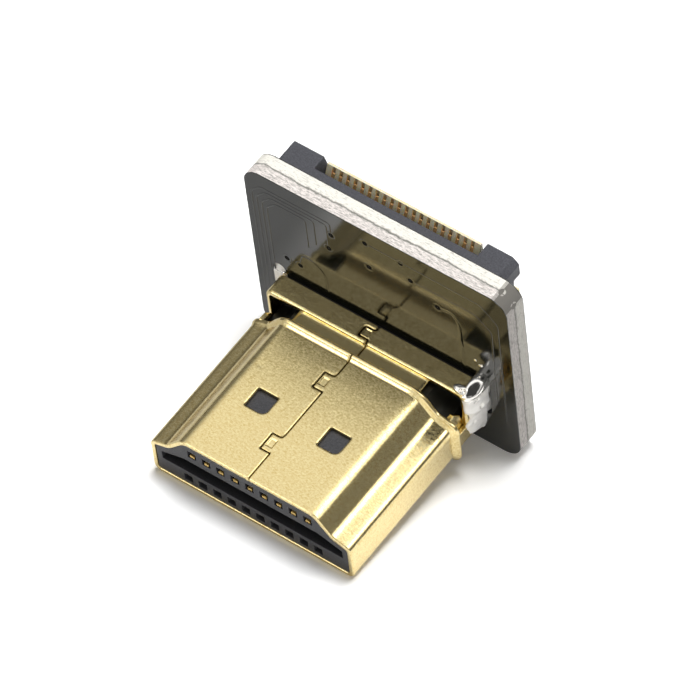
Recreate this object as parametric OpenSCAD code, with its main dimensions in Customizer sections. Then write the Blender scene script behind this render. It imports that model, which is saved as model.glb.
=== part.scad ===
// Nineteen-contact video plug that stands on a small board, with a ribbon cable connector on the
// board's back.
// The parts are drawn with the plug lying flat: X runs across the plug, Y from its mouth back to
// the board and Z from its wide face up to its narrow face. The whole is then tipped nose down
// until the mouth and the foot of the board both touch the ground, as it lies on a bench.

/* [Plug shell] */
// Width across the two side walls
shell_w = 13.9; // [13.5:0.05:14.4]
// Height from the wide face up to the narrow face
shell_h = 4.45; // [4.2:0.05:4.8]
// Thickness of the gold-plated sheet
sheet = 0.3; // [0.25:0.05:0.4]
// Width of the narrow face
narrow_w = 9.2; // [8.6:0.1:9.6]
// Run of the slope on each side of the narrow face
slope_run = 1.15; // [0.9:0.05:1.3]
// Fall of that slope
slope_fall = 1.3; // [1.0:0.05:1.4]
// Fall of the ledge between the slope and the side wall
ledge_fall = 0.4; // [0.25:0.05:0.5]
// Outer radius of the two edges of the wide face
corner_r = 0.5; // [0.45:0.05:0.7]
// Radius of the bends beside the narrow face
slope_bend_r = 1.1; // [0.8:0.05:1.2]
// Radius of the bends between the slopes and the ledges
ledge_bend_r = 0.9; // [0.7:0.05:1]
// Radius of the bends between the ledges and the side walls
side_bend_r = 0.5; // [0.4:0.02:0.56]
// Length of the front section, from the mouth to the lip
nose_len = 9.5; // [8.8:0.1:10.5]
// Chamfer round the mouth
mouth_chamfer = 0.1; // [0.04:0.02:0.16]
// Height that the lip stands proud of the front section
lip_rise = 0.25; // [0.15:0.05:0.3]
// Length of the lip
lip_len = 0.45; // [0.4:0.05:0.6]
// Length of the neck between the lip and the collar
neck_len = 1.05; // [0.8:0.05:1.4]
// Height of the collar above the neck
neck_drop = 0.3; // [0.2:0.05:0.34]

/* [Collar] */
// Distance that each side of the collar stands in from the side of the front section
collar_set_in = 0.05; // [0:0.05:0.2]
// Height of the collar's top above the wide face
collar_h = 4.35; // [4.2:0.05:4.45]
// Length of the collar
collar_len = 1.4; // [1.2:0.1:2]
// Outer radius of the collar's corners
collar_r = 0.5; // [0.45:0.05:0.7]
// Gap between the collar and the board
board_gap = 0.22; // [0.1:0.02:0.4]
// Width of the leg on each side of the collar
leg_w = 2.4; // [1.6:0.1:3]
// Height of the leg's lower edge above the wide face
leg_low = 1.5; // [1.3:0.1:1.7]
// Length of the leg behind the board
leg_out = 0.55; // [0.3:0.05:0.8]

/* [Seam and windows] */
// Distance of the seam from the middle of the plug
seam_x = 0.1; // [-0.2:0.05:0.2]
// Width of the seam
seam_gap = 0.05; // [0.02:0.01:0.08]
// Width of the tabs that lock the seam
lock_w = 0.7; // [0.65:0.05:0.9]
// Length of the tabs
lock_len = 1.2; // [0.9:0.05:1.3]
// Radius of the tabs' corners
lock_r = 0.14; // [0.08:0.01:0.2]
// Distance from the mouth to the first tab
lock_first = 2.05; // [1.6:0.05:2.4]
// Distance from the first tab to the second
lock_step = 4.95; // [4.5:0.05:5.3]
// Length of the tab in the collar
collar_lock_len = 0.75; // [0.6:0.05:0.8]
// Width of the oblong pressed into each tab
stamp_w = 0.48; // [0.25:0.01:0.5]
// Length of that oblong
stamp_l = 0.6; // [0.3:0.05:0.65]
// Depth of that oblong
stamp_depth = 0.07; // [0.04:0.01:0.1]
// Width of a window
window_w = 1.4; // [1:0.05:1.8]
// Length of a window
window_l = 1.42; // [1:0.05:1.8]
// Radius of a window's corners
window_r = 0.14; // [0.1:0.02:0.3]
// Radius of its front right corner, worn rounder
window_wide_r = 0.38; // [0.3:0.02:0.5]
// Distance from the seam to the middle of each window
window_x = 2.5; // [2:0.05:2.7]
// Distance from the mouth to the windows
window_y = 3.94; // [3.6:0.05:4.5]

/* [Plug insulators] */
// Depth of the moulded nose inside the mouth
nose_recess = 0.06; // [0.02:0.02:0.2]
// Clearance between the mouldings and the shell
fit = 0.03; // [0.01:0.01:0.06]
// Width of the tongue slot
slot_w = 12.5; // [12:0.1:12.6]
// Height of the tongue slot
slot_h = 1.15; // [0.9:0.05:1.25]
// Height of the slot's floor above the wide face
slot_low = 1.45; // [1.4:0.05:1.6]
// Height of the slot at its two ends
slot_end_h = 0.65; // [0.5:0.05:0.8]
// Run of the slot's sloped ends
slot_end_run = 1.6; // [1:0.1:2]
// Depth of the tongue slot
slot_depth = 7; // [6.5:0.1:8]
// Side of the square contact openings
cavity_w = 0.56; // [0.5:0.02:0.6]
// Depth of the square openings before they break into the slot
web = 0.7; // [0.5:0.05:1]

/* [Plug contacts] */
// Spacing of the contacts in a row
pitch = 1; // [0.98:0.01:1.02]
// Number of contacts in the upper row, one fewer than in the lower row
upper_count = 9; // [5:1:9]
// Height of the upper row above the wide face
upper_z = 3.35; // [3.25:0.05:3.4]
// Height of the lower row above the wide face
lower_z = 0.83; // [0.8:0.01:0.95]
// Width of a contact
contact_w = 0.3; // [0.2:0.02:0.36]
// Thickness of a contact
contact_t = 0.2; // [0.15:0.01:0.25]
// Depth of the upper row's tips behind the mouth
upper_tip = 0.1; // [0.1:0.05:0.6]
// Depth of the lower row's tips behind the mouth
lower_tip = 0.7; // [0.4:0.05:0.85]
// Height that a contact's bow stands into the tongue slot
bow = 0.2; // [0.1:0.02:0.25]
// Length of the pins behind the board
pin_out = 0.8; // [0.6:0.05:1.1]

/* [Board] */
// Distance from the plug's middle to the board's left edge
board_left = 8.72; // [8.4:0.01:9.2]
// Distance from the plug's middle to the board's right edge
board_right = 9.25; // [8.6:0.01:9.6]
// Height of the board's top edge above the wide face
board_top = 12.72; // [12.2:0.01:14]
// Depth of the board's foot below the wide face
board_drop = 1.85; // [1.2:0.05:2.4]
// Thickness of the board
board_t = 1.55; // [1:0.05:1.6]
// Corner radius of the board
board_r = 1.2; // [0.6:0.1:1.4]
// Radius of the holes for the contact pins
pin_hole_r = 0.27; // [0.24:0.01:0.32]
// Radius of the small through-connections
via_r = 0.17; // [0.1:0.01:0.2]
// Width of the slots for the legs
leg_slot_w = 0.9; // [0.75:0.05:1]
// Room in a slot above and below its leg
leg_slot_room = 0.9; // [0.7:0.05:1]
// Width of the broken-off tab across the board's top right corner
stub_w = 1; // [0.6:0.05:1.2]
// Radius of the nibbled hollow at each end of that tab
nibble_r = 0.75; // [0.5:0.05:0.9]

/* [Ribbon connector] */
// Number of ways
ways = 20; // [16:1:20]
// Spacing of the ways
way_pitch = 0.5; // [0.48:0.01:0.5]
// Distance of the connector's middle from the plug's middle
ribbon_x = -0.12; // [-0.4:0.02:0.4]
// Depth of the slider's face below the board's top edge
ribbon_set_back = 0.9; // [0.6:0.05:1.2]
// Height of the connector off the board
ribbon_h = 2; // [1.9:0.05:2.4]
// Distance from the slider's face down to the back of the housing
ribbon_depth = 5.4; // [5.3:0.1:6.4]
// Distance from the outer contacts to the slider's ends
slider_end = 2.95; // [2.85:0.05:3.25]
// Width of the slider's end blocks
slider_block_w = 2.1; // [2.05:0.05:2.15]
// Thickness of the slider's bar
slider_bar_t = 1.03; // [0.9:0.01:1.05]
// Height of the slider's end blocks
slider_block_h = 2.75; // [2.4:0.05:2.9]
// Height of those blocks at their outer ends, where they are stepped
slider_ear_h = 1.3; // [1:0.05:1.6]
// Bevel that marks the slider's first corner
slider_bevel = 0.4; // [0.2:0.05:0.5]
// Height of the slider's bar, seen from its face
slider_bar_h = 0.65; // [0.5:0.05:0.8]
// Depth of the comb's ridge below the slider's face
comb_set_back = 0.18; // [0.1:0.02:0.4]
// Thickness of that ridge
comb_ridge = 0.15; // [0.12:0.01:0.2]
// Width of a slot in the comb
comb_slot_w = 0.22; // [0.18:0.01:0.26]
// Clearance round the slider's tongue and arms
slide_fit = 0.05; // [0.03:0.01:0.08]
// Thickness of the connector's contacts
way_t = 0.16; // [0.12:0.01:0.17]

/* [Solder] */
// Height of the solder cones on the contact pins
pin_solder_h = 0.5; // [0.3:0.05:0.6]
// Radius of those cones on the board
pin_solder_r = 0.42; // [0.38:0.01:0.45]

/* [Hidden] */
$fn = 32;
lap = 0.01; // how far one part of a union runs into the next

// Heights and depths along the plug
side_h = shell_h - slope_fall - ledge_fall;
ledge_h = shell_h - slope_fall;
lip_end = nose_len + lip_len;
lip_ramp = lip_rise * 1.1;
collar_w = shell_w - 2 * collar_set_in;
collar_y = lip_end + neck_len;
collar_end = collar_y + collar_len;
board_y = collar_end + board_gap;
board_back = board_y + board_t;

// Heights and depths of the ribbon connector
slider_half = (ways - 1) / 2 * way_pitch + slider_end;
slider_gap_half = slider_half - slider_block_w;
slider_face = board_top - ribbon_set_back;
housing_low = slider_face - ribbon_depth;
bar_low = slider_face - slider_bar_h;
comb_z = slider_face - comb_set_back;
ribbon_back = board_back + ribbon_h;

// Resting position
tip_angle = atan(board_drop / board_y);
box_front = -(shell_h - mouth_chamfer) * sin(tip_angle);
box_back = ribbon_back * cos(tip_angle) - housing_low * sin(tip_angle);

lower_count = upper_count + 1;
function two_digits(i) = str(i < 10 ? "0" : "", i);
PLUG_CONTACTS = [for (i = [1:upper_count + lower_count]) str("contact_", two_digits(i))];
RIBBON_CONTACTS = [for (i = [1:ways]) str("ribbon_contact_", two_digits(i))];

// Tips the plug nose down and puts the middle of the assembly's footprint at the origin
module at_rest() {
  translate([-(board_right - board_left) / 2, -(box_front + box_back) / 2, 0])
    rotate([tip_angle, 0, 0])
      children();
}

// Extrudes an outline drawn in X and Z back from depth y
module slab(y, t) {
  translate([0, y + t, 0])
    rotate([90, 0, 0])
      linear_extrude(t)
        children();
}

// Extrudes a side view drawn in Y and Z, across the plug from x
module side_cut(x, w) {
  translate([x, 0, 0])
    rotate([90, 0, 90])
      linear_extrude(w)
        children();
}

// Box from its lowest to its highest corner
module span(low, high) {
  translate(low)
    cube(high - low);
}

module both_sides() {
  children();
  mirror([1, 0, 0])
    children();
}

// An outline is a list of corners, each with its place and its bend radius, anticlockwise
function wrap(list, i) = list[(i + len(list)) % len(list)];
function place(c) = [c[0], c[1]];
function way(a) = [cos(a), sin(a)];
function outward(a) = [sin(a), -cos(a)];
function heading(c, i) = let (v = wrap(c, i + 1) - wrap(c, i)) atan2(v[1], v[0]);
function turn(c, i) =
  let (t = heading(c, i) - heading(c, i - 1)) t > 180 ? t - 360 : t < -180 ? t + 360 : t;
function trim(c, i) = wrap(c, i)[2] * tan(abs(turn(c, i)) / 2);
function bend_start(c, i) = place(wrap(c, i)) - trim(c, i) * way(heading(c, i - 1));
function bend_centre(c, i) = bend_start(c, i) - sign(turn(c, i)) * c[i][2] * outward(heading(c, i - 1));

// Points of an outline with its bends drawn as arcs
function outline(c, steps = 6) = [
  for (i = [0:len(c) - 1]) for (k = [0:c[i][2] > 0 ? steps : 0])
    bend_centre(c, i)
      + sign(turn(c, i)) * c[i][2] * outward(heading(c, i - 1) + turn(c, i) * k / steps)];

// The same corners moved inward by d, with their bends kept concentric
function inset(c, d) = [
  for (i = [0:len(c) - 1])
    let (
      a = outward(heading(c, i - 1)),
      b = outward(heading(c, i)),
      p = place(c[i]) - d * (a + b) / (1 + a * b))
      [p[0], p[1], c[i][2] - sign(turn(c, i)) * d]];

// Outline of a band along an open line of the same kind, with half its width on each side
function beside(c, d) = [
  for (i = [0:len(c) - 1])
    let (
      a = outward(heading(c, max(i - 1, 0))),
      b = outward(heading(c, min(i, len(c) - 2))),
      p = place(c[i]) + d * (a + b) / (1 + a * b))
      [p[0], p[1], c[i][2] > 0 ? c[i][2] + sign(turn(c, i)) * d : 0]];
function band(c, half) =
  let (back = beside(c, -half)) concat(beside(c, half), [for (i = [len(c) - 1:-1:0]) back[i]]);

// Sheet carried round an outline. Its section is a list of points: height out of the outline and
// depth behind the mouth. Each point draws a ring, and faces join each ring to the next.
module carried_round(c, section) {
  rings = [for (p = section) [for (q = outline(inset(c, -p[0]))) [q[0], p[1], q[1]]]];
  n = len(rings[0]);
  function corner(ring, i) = (ring % len(rings)) * n + i % n;
  polyhedron(
    points = [for (ring = rings) each ring],
    faces = [
      for (k = [0:len(rings) - 1]) for (i = [0:n - 1])
        [corner(k, i), corner(k, i + 1), corner(k + 1, i + 1), corner(k + 1, i)]]);
}

// Outline of the plug's mouth: a wide face, two side walls, two ledges, two slopes, a narrow face
function plug_corners() = [
  [-shell_w / 2, 0, corner_r],
  [shell_w / 2, 0, corner_r],
  [shell_w / 2, side_h, side_bend_r],
  [narrow_w / 2 + slope_run, ledge_h, ledge_bend_r],
  [narrow_w / 2, shell_h, slope_bend_r],
  [-narrow_w / 2, shell_h, slope_bend_r],
  [-narrow_w / 2 - slope_run, ledge_h, ledge_bend_r],
  [-shell_w / 2, side_h, side_bend_r]];

function box_corners(x0, z0, x1, z1, r) = [[x0, z0, r], [x1, z0, r], [x1, z1, r], [x0, z1, r]];
function collar_corners() = box_corners(-collar_w / 2, 0, collar_w / 2, collar_h, collar_r);

// Front section of the shell with the chamfered mouth and the flared lip
module shell_nose() {
  carried_round(plug_corners(), [
    [-sheet, 0],
    [-mouth_chamfer, 0],
    [0, mouth_chamfer],
    [0, nose_len],
    [lip_rise, nose_len + lip_ramp],
    [lip_rise, lip_end],
    [lip_rise - sheet, lip_end],
    [-sheet, lip_end - lip_ramp]]);
}

// Strips that join the lip to the collar: one on each face, with open corners between them
neck_top = collar_h - neck_drop;
neck_side = collar_w / 2 - neck_drop;
neck_top_w = narrow_w - 0.2;
neck_low_w = shell_w - 3 * corner_r;
side_tab_foot = corner_r + 0.5; // lowest edge of a side strip, at the lip
side_tab_top = side_h + 0.3; // its highest point, just behind the lip
side_tab_low = 1.3; // its lower and upper edge at the collar
side_tab_high = 1.75;
module shell_neck() {
  joggle_y = lip_end - sheet;
  collar_in = collar_y + sheet;
  joggle_top = side_h - 0.15;
  span([-neck_top_w / 2, joggle_y, neck_top - sheet], [neck_top_w / 2, collar_in, neck_top]);
  span([-neck_top_w / 2, joggle_y, neck_top - lap], [neck_top_w / 2, lip_end, shell_h - sheet / 2]);
  span([-neck_top_w / 2, collar_y, neck_top - lap], [neck_top_w / 2, collar_in, collar_h - sheet / 2]);
  span([-neck_low_w / 2, joggle_y, 0], [neck_low_w / 2, collar_in, sheet]);
  both_sides() {
    side_cut(neck_side - sheet, sheet)
      polygon([
        [joggle_y, side_tab_foot],
        [lip_end, side_tab_foot],
        [collar_y, side_tab_low],
        [collar_in, side_tab_low],
        [collar_in, side_tab_high],
        [collar_y, side_tab_high],
        [lip_end, side_tab_top],
        [lip_end - sheet / 3, side_tab_top],
        [joggle_y, joggle_top]]);
    span([neck_side - lap, joggle_y, side_tab_foot], [shell_w / 2 - sheet / 2, lip_end, joggle_top]);
    span([neck_side - lap, collar_y, side_tab_low], [collar_w / 2 - sheet / 2, collar_in, side_tab_high]);
  }
}

module shell_collar() {
  carried_round(collar_corners(), [
    [-sheet, collar_y],
    [-mouth_chamfer / 2, collar_y],
    [0, collar_y + mouth_chamfer / 2],
    [0, collar_end],
    [-sheet, collar_end]]);
}

// Leg that runs from the collar's side through the board, with a narrowed tip
module shell_leg() {
  tip = board_back + leg_out;
  high = leg_low + leg_w;
  nip = 0.4; // width and length that the tip loses at each corner
  side_cut(collar_w / 2 - sheet, sheet)
    polygon([
      [collar_end - lap, leg_low],
      [tip - nip, leg_low],
      [tip, leg_low + nip],
      [tip, high - nip],
      [tip - nip, high],
      [collar_end - lap, high]]);
}

// Line of the seam, from the mouth back: straight, round each tab and on
lock_second = lock_first + lock_step;
collar_lock = (collar_y + collar_end - collar_lock_len) / 2;
function round_tab(y, l) = [
  [0, y, lock_r], [-lock_w, y, lock_r], [-lock_w, y + l, lock_r], [0, y + l, lock_r]];
seam_line = concat(
  [[0, -1, 0]],
  round_tab(lock_first, lock_len),
  round_tab(lock_second, lock_len),
  round_tab(collar_lock, collar_lock_len),
  [[0, collar_end + board_gap / 2, 0]]);

module seam_cut() {
  translate([seam_x, 0, shell_h / 2])
    linear_extrude(shell_h / 2 + 1)
      polygon(outline(band(seam_line, seam_gap / 2), 4));
}

module lock_stamp(y, l, z) {
  stamp = [stamp_w, min(stamp_l, l - 0.2)];
  middle = [seam_x - lock_w / 2, y + l / 2, z];
  translate(middle - [stamp[0] / 2, stamp[1] / 2, stamp_depth])
    cube([stamp[0], stamp[1], stamp_depth + 1]);
}

module window_cut() {
  for (side = [-1, 1])
    translate([seam_x + side * window_x, window_y + window_l / 2, -1])
      linear_extrude(shell_h + 2)
        polygon(outline([
          [-window_w / 2, -window_l / 2, window_r],
          [window_w / 2, -window_l / 2, window_wide_r],
          [window_w / 2, window_l / 2, window_r],
          [-window_w / 2, window_l / 2, window_r]]));
}

module plug_shell() {
  color("#d8bd6a")
    difference() {
      union() {
        shell_nose();
        shell_neck();
        shell_collar();
        both_sides()
          shell_leg();
      }
      seam_cut();
      window_cut();
      lock_stamp(lock_first, lock_len, shell_h);
      lock_stamp(lock_second, lock_len, shell_h);
      lock_stamp(collar_lock, collar_lock_len, collar_h);
    }
}

// The contacts stand in two rows, the upper one half a pitch aside from the lower one
function contact_x(i) =
  i < upper_count ? (i - (upper_count - 1) / 2) * pitch : (i - upper_count - (lower_count - 1) / 2) * pitch;
function contact_z(i) = i < upper_count ? upper_z : lower_z;

// A contact's middle line, seen from the side: from its tip, which lies on the floor of its opening
// in the upper row, it bows into the tongue slot, then runs straight back through the board
tip_drop = cavity_w / 2 - contact_t / 2 - 0.02;
bow_y = 3; // depth of the bow's top behind the mouth
bow_half = 2.1; // half of the bow's length
function bow_top(i) = i < upper_count
  ? slot_low + slot_h - bow + contact_t / 2
  : slot_low + bow - contact_t / 2;
function rise(i, y) = abs(y - bow_y) > bow_half ? 0 : (1 + cos(180 * (y - bow_y) / bow_half)) / 2;
function contact_line(i, steps = 12) =
  let (z = contact_z(i), h = bow_top(i) - z) concat(
    [i < upper_count ? [upper_tip, z - tip_drop] : [lower_tip, z]],
    [for (k = [0:steps]) let (y = bow_y - bow_half + 2 * bow_half * k / steps) [y, z + h * rise(i, y)]],
    [[board_back + pin_out, z]]);
function thick_line(line, t) = concat(
  [for (p = line) p - [0, t / 2]],
  [for (k = [len(line) - 1:-1:0]) line[k] + [0, t / 2]]);

module plug_contact(i) {
  color("#c9a24a")
    side_cut(contact_x(i) - contact_w / 2, contact_w)
      polygon(thick_line(contact_line(i), contact_t));
}

// Square opening at the mouth and the channel behind it, open to the tongue slot
channel_back = bow_y + bow_half + 0.3;
module contact_room(i) {
  x = contact_x(i);
  z = contact_z(i);
  half = cavity_w / 2;
  slot_mid = slot_low + slot_h / 2;
  span([x - half, nose_recess - 1, z - half], [x + half, channel_back, z + half]);
  span([x - half, nose_recess + web, min(z, slot_mid)], [x + half, channel_back, max(z, slot_mid)]);
}

// Snug hole that grips a contact's straight run
module contact_grip(i, from, to) {
  side = contact_w / 2 + fit / 2;
  high = contact_t / 2 + fit / 2;
  span([contact_x(i) - side, from, contact_z(i) - high], [contact_x(i) + side, to, contact_z(i) + high]);
}

module tongue_slot() {
  half = slot_w / 2;
  roof = slot_low + slot_h;
  slab(nose_recess - 1, slot_depth + 1)
    polygon([
      [-half, slot_low],
      [half, slot_low],
      [half, slot_low + slot_end_h],
      [half - slot_end_run, roof],
      [-half + slot_end_run, roof],
      [-half, slot_low + slot_end_h]]);
}

// Moulded nose that fills the front section
insulator_end = lip_end - sheet - lip_ramp;
module front_insulator() {
  color("#4a4d4e")
    difference() {
      slab(nose_recess, insulator_end - nose_recess)
        polygon(outline(inset(plug_corners(), sheet + fit)));
      tongue_slot();
      for (i = [0:upper_count + lower_count - 1]) {
        contact_room(i);
        contact_grip(i, channel_back - lap, insulator_end + 1);
      }
    }
}

// Moulded block in the neck and the collar: it carries the contacts' straight runs and stands on
// the board. Its front follows the plug's outline, so the corners of the neck stay open behind it.
module rear_insulator() {
  gap = sheet + fit;
  neck_x = neck_side - gap;
  back_x = collar_w / 2 - gap;
  back_y = collar_y + sheet + gap;
  color("#35372f")
    difference() {
      union() {
        slab(insulator_end, back_y - insulator_end + lap)
          intersection() {
            polygon(outline(inset(plug_corners(), gap)));
            translate([-neck_x, gap])
              square([2 * neck_x, neck_top - 2 * gap]);
          }
        slab(back_y, board_y - back_y)
          polygon(outline(box_corners(-back_x, gap, back_x, collar_h - gap, collar_r - sheet)));
      }
      for (i = [0:upper_count + lower_count - 1])
        contact_grip(i, insulator_end - 1, board_y + 1);
    }
}

// Leg slots: the inner wall of each lies just inside its leg
leg_slot_x = collar_w / 2 - sheet - fit + leg_slot_w / 2;
leg_slot_low = leg_low - leg_slot_room / 2;
leg_slot_high = leg_low + leg_w + leg_slot_room;
module leg_slot(y, t, shrink = 0) {
  r = leg_slot_w / 2 - shrink;
  slab(y, t) {
    translate([leg_slot_x - r, leg_slot_low + leg_slot_w / 2])
      square([2 * r, leg_slot_high - leg_slot_low - leg_slot_w]);
    for (z = [leg_slot_low, leg_slot_high - leg_slot_w])
      translate([leg_slot_x, z + leg_slot_w / 2])
        circle(r);
  }
}

// Through-connections on the board's open upper part: distance from the middle and height
vias = [
  [-6.33, 5.85], [-5.4, 5.83], [-3.1, 9.13], [-2.82, 10.56], [-0.4, 11.55],
  [-0.3, 9.42], [2.02, 11.45], [2.61, 10.27], [4.36, 9.07]];

// The panel's tab was broken off across this corner: a flat stub between two nibbled hollows
module corner_stub() {
  corner = [board_right, 0, board_top];
  cut_in = board_r * (1 - cos(45));
  overrun = 0.3;
  bite = 0.22;
  translate(corner - [cut_in, 0, cut_in])
    rotate([0, 45, 0]) {
      span([-stub_w / 2 - overrun, board_y - 1, lap], [stub_w / 2 + overrun, board_back + 1, 2]);
      for (side = [-1, 1])
        translate([side * (stub_w / 2 + overrun), board_y + board_t / 2, nibble_r - bite])
          sphere(nibble_r);
    }
}

module board() {
  color("#1d1f1b")
    difference() {
      slab(board_y, board_t)
        polygon(outline(box_corners(-board_left, -board_drop, board_right, board_top, board_r), 10));
      slab(board_y - 1, board_t + 2) {
        for (i = [0:upper_count + lower_count - 1])
          translate([contact_x(i), contact_z(i)])
            circle(pin_hole_r);
        for (v = vias)
          translate(v)
            circle(via_r);
      }
      both_sides()
        leg_slot(board_y - 1, board_t + 2);
      corner_stub();
    }
}

// Cone of solder round each contact pin on the back of the board
module pin_solder() {
  color("#c8c8c4")
    for (i = [0:upper_count + lower_count - 1])
      translate([contact_x(i), board_back, contact_z(i)])
        difference() {
          rotate([-90, 0, 0])
            cylinder(h = pin_solder_h, r1 = pin_solder_r, r2 = contact_w * 0.75);
          translate([-contact_w / 2, -1, -contact_t / 2])
            cube([contact_w, pin_solder_h + 2, contact_t]);
        }
}

// Solder behind the board: a mound over the slot and a step up round the leg
module leg_mound() {
  spread = 0.15;
  slab(board_back, leg_out * 0.35)
    polygon(outline(box_corners(
      leg_slot_x - leg_slot_w / 2 - spread, leg_slot_low - spread,
      leg_slot_x + leg_slot_w / 2 + spread, leg_slot_high + spread, leg_slot_w / 2)));
  slab(board_back, leg_out * 0.7)
    polygon(outline(box_corners(
      leg_slot_x - leg_slot_w / 2, leg_low, leg_slot_x + leg_slot_w / 2, leg_low + leg_w, leg_slot_w / 3)));
}

// The leg's own room in the solder
module leg_room() {
  span([collar_w / 2 - sheet, board_y - 1, leg_low],
       [collar_w / 2, board_back + leg_out + 1, leg_low + leg_w]);
}

// Left: the slot is filled round the leg, and its upper end is still open
module leg_solder_left() {
  color("#d6d5cf")
    mirror([1, 0, 0])
      difference() {
        union() {
          leg_mound();
          intersection() {
            leg_slot(board_y + board_t / 2, board_t / 2);
            slab(board_y, board_t)
              translate([leg_slot_x - leg_slot_w, leg_slot_low])
                square([2 * leg_slot_w, leg_low + leg_w - leg_slot_low]);
          }
        }
        leg_room();
      }
}

// Right: a lumpy fillet runs down the collar's side wall, and a lobe of it over the collar's top.
// Each point: distance out from the collar's side, depth before the board, height, radius.
side_run = [
  [0.5, 0.3, 5.02, 0.4], [0.28, 0.38, 4.55, 0.5], [0.1, 0.5, 3.9, 0.62], [0.12, 0.48, 3.0, 0.6],
  [0.06, 0.5, 2.1, 0.54], [0, 0.42, 1.3, 0.4], [-0.1, 0.3, 0.7, 0.26]];
top_run = [[0.1, 0.45, 4.3, 0.46], [-0.4, 0.75, 4.2, 0.42], [-0.85, 0.7, 4.2, 0.34]];
module solder_run(points) {
  function at(p) = [collar_w / 2 + p[0], board_y - p[1], p[2]];
  for (p = points)
    translate(at(p))
      sphere(p[3]);
  for (i = [1:len(points) - 1]) {
    d = at(points[i]) - at(points[i - 1]);
    translate(at(points[i - 1]))
      rotate([0, acos(d[2] / norm(d)), atan2(d[1], d[0])])
        cylinder(h = norm(d), r1 = points[i - 1][3], r2 = points[i][3]);
  }
}

module leg_solder_right() {
  color("#d6d5cf")
    difference() {
      union() {
        leg_mound();
        leg_slot(board_y - lap, board_t + 2 * lap);
        difference() {
          union() {
            solder_run(side_run);
            solder_run(top_run);
          }
          span([-shell_w, board_y, -1], [shell_w, board_back + 1, board_top]);
        }
      }
      leg_room();
      slab(collar_y - 1, collar_len + board_gap + 1)
        polygon(outline(inset(collar_corners(), -lap), 12));
    }
}

// Section of the ribbon connector, seen from the side: distances off the board
floor_t = 0.42; // floor under the ribbon
tongue_t = 0.3; // slider's tongue, which presses the ribbon up to the contacts
roof_low = slider_bar_t + 0.12; // underside of the comb
comb_back = ribbon_h - 0.06; // back of the comb, front of its ridge and end of its slots
slot_end = comb_back - comb_ridge;
lead_in = 1.4; // height of the comb's leaning inner face
block_low = slider_face - slider_block_h;
shoulder_z = block_low - slide_fit;
comb_gap = 0.35; // between the comb and the slider's end blocks
comb_half = slider_gap_half - comb_gap;
slot_half = comb_half - 0.3; // half width of the slot for the ribbon
arm_in = slider_gap_half + 0.25; // slider's arms: inner and outer side, end, height off the board
arm_out = arm_in + 0.95;
arm_low = shoulder_z - 1.3;
arm_near = 0.3;
arm_far = 1.6;
ribbon_slot_low = housing_low + 1.1;
anchor_t = 0.2; // anchors: sheet, height off the board, foot, set in from the housing's ends
anchor_h = 1.3;
anchor_foot = 0.5;
anchor_set_in = 0.5;
way_foot = 0.7; // foot of each contact, and the fillet of solder at its heel
fillet_h = 0.15;
fillet_run = 0.35;
housing_half = slider_half - anchor_t;

function way_x(i) = ribbon_x + (i - (ways - 1) / 2) * way_pitch;
// Place in the section: off the board and up
function off_board(p) = [for (q = p) [board_back + q[0], q[1]]];

module ribbon_housing() {
  color("#d8cfa8")
    difference() {
      union() {
        span([ribbon_x - housing_half, board_back, housing_low],
             [ribbon_x + housing_half, ribbon_back, shoulder_z]);
        span([ribbon_x - comb_half, board_back, shoulder_z - lap],
             [ribbon_x + comb_half, board_back + floor_t, bar_low - slide_fit]);
        // comb, with an inner face that leans back to lead the ribbon in
        side_cut(ribbon_x - comb_half, 2 * comb_half)
          polygon(off_board([
            [roof_low, shoulder_z - lap],
            [comb_back, shoulder_z - lap],
            [comb_back, comb_z],
            [slot_end, comb_z],
            [roof_low, comb_z - lead_in]]));
      }
      // slot for the ribbon and the slider's tongue
      span([ribbon_x - slot_half, board_back + floor_t, ribbon_slot_low],
           [ribbon_x + slot_half, board_back + roof_low + lap, shoulder_z]);
      // pockets for the slider's arms
      translate([ribbon_x, 0, 0])
        both_sides()
          span([arm_in - slide_fit, board_back + arm_near - slide_fit, arm_low - 2 * slide_fit],
               [arm_out + slide_fit, board_back + arm_far + slide_fit, shoulder_z + 1]);
      // the comb's slots, and the slits for the contacts below them
      for (i = [0:ways - 1]) {
        span([way_x(i) - comb_slot_w / 2, board_back + roof_low - lap, ribbon_slot_low - 0.2],
             [way_x(i) + comb_slot_w / 2, board_back + slot_end, comb_z + 1]);
        span([way_x(i) - way_t / 2, board_back - 1, housing_low - 1],
             [way_x(i) + way_t / 2, board_back + slot_end - 0.08, ribbon_slot_low]);
      }
    }
}

// End block of the slider with a cut corner, a step below its outer end and a sloped inner face
slider_lift = 0.08; // of the slider off the board
module slider_block(corner) {
  slope = 0.25;
  step = 0.5;
  ear_low = slider_face - slider_ear_h;
  slab(board_back + slider_lift, ribbon_h - slider_lift)
    polygon([
      [slider_gap_half - slope, block_low],
      [slider_half - step, block_low],
      [slider_half - step, ear_low],
      [slider_half, ear_low],
      [slider_half, slider_face - corner],
      [slider_half - corner, slider_face],
      [slider_gap_half, slider_face],
      [slider_gap_half - slope, bar_low]]);
}

module ribbon_slider() {
  half = slider_half;
  dull = 0.08; // the corner that has no bevel
  color("#47484c")
    translate([ribbon_x, 0, 0]) {
      // bar along the board
      span([-half + slider_bevel, board_back + slider_lift, bar_low],
           [half - slider_bevel, board_back + slider_bar_t, slider_face]);
      slider_block(slider_bevel);
      mirror([1, 0, 0])
        slider_block(dull);
      // arms that run in the housing's pockets
      both_sides()
        span([arm_in, board_back + arm_near, arm_low], [arm_out, board_back + arm_far, block_low + lap]);
      // tongue that wedges the ribbon
      tongue_x = slot_half - slide_fit;
      span([-tongue_x, board_back + floor_t + slide_fit, ribbon_slot_low + 0.8],
           [tongue_x, board_back + floor_t + slide_fit + tongue_t, bar_low + lap]);
    }
}

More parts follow.
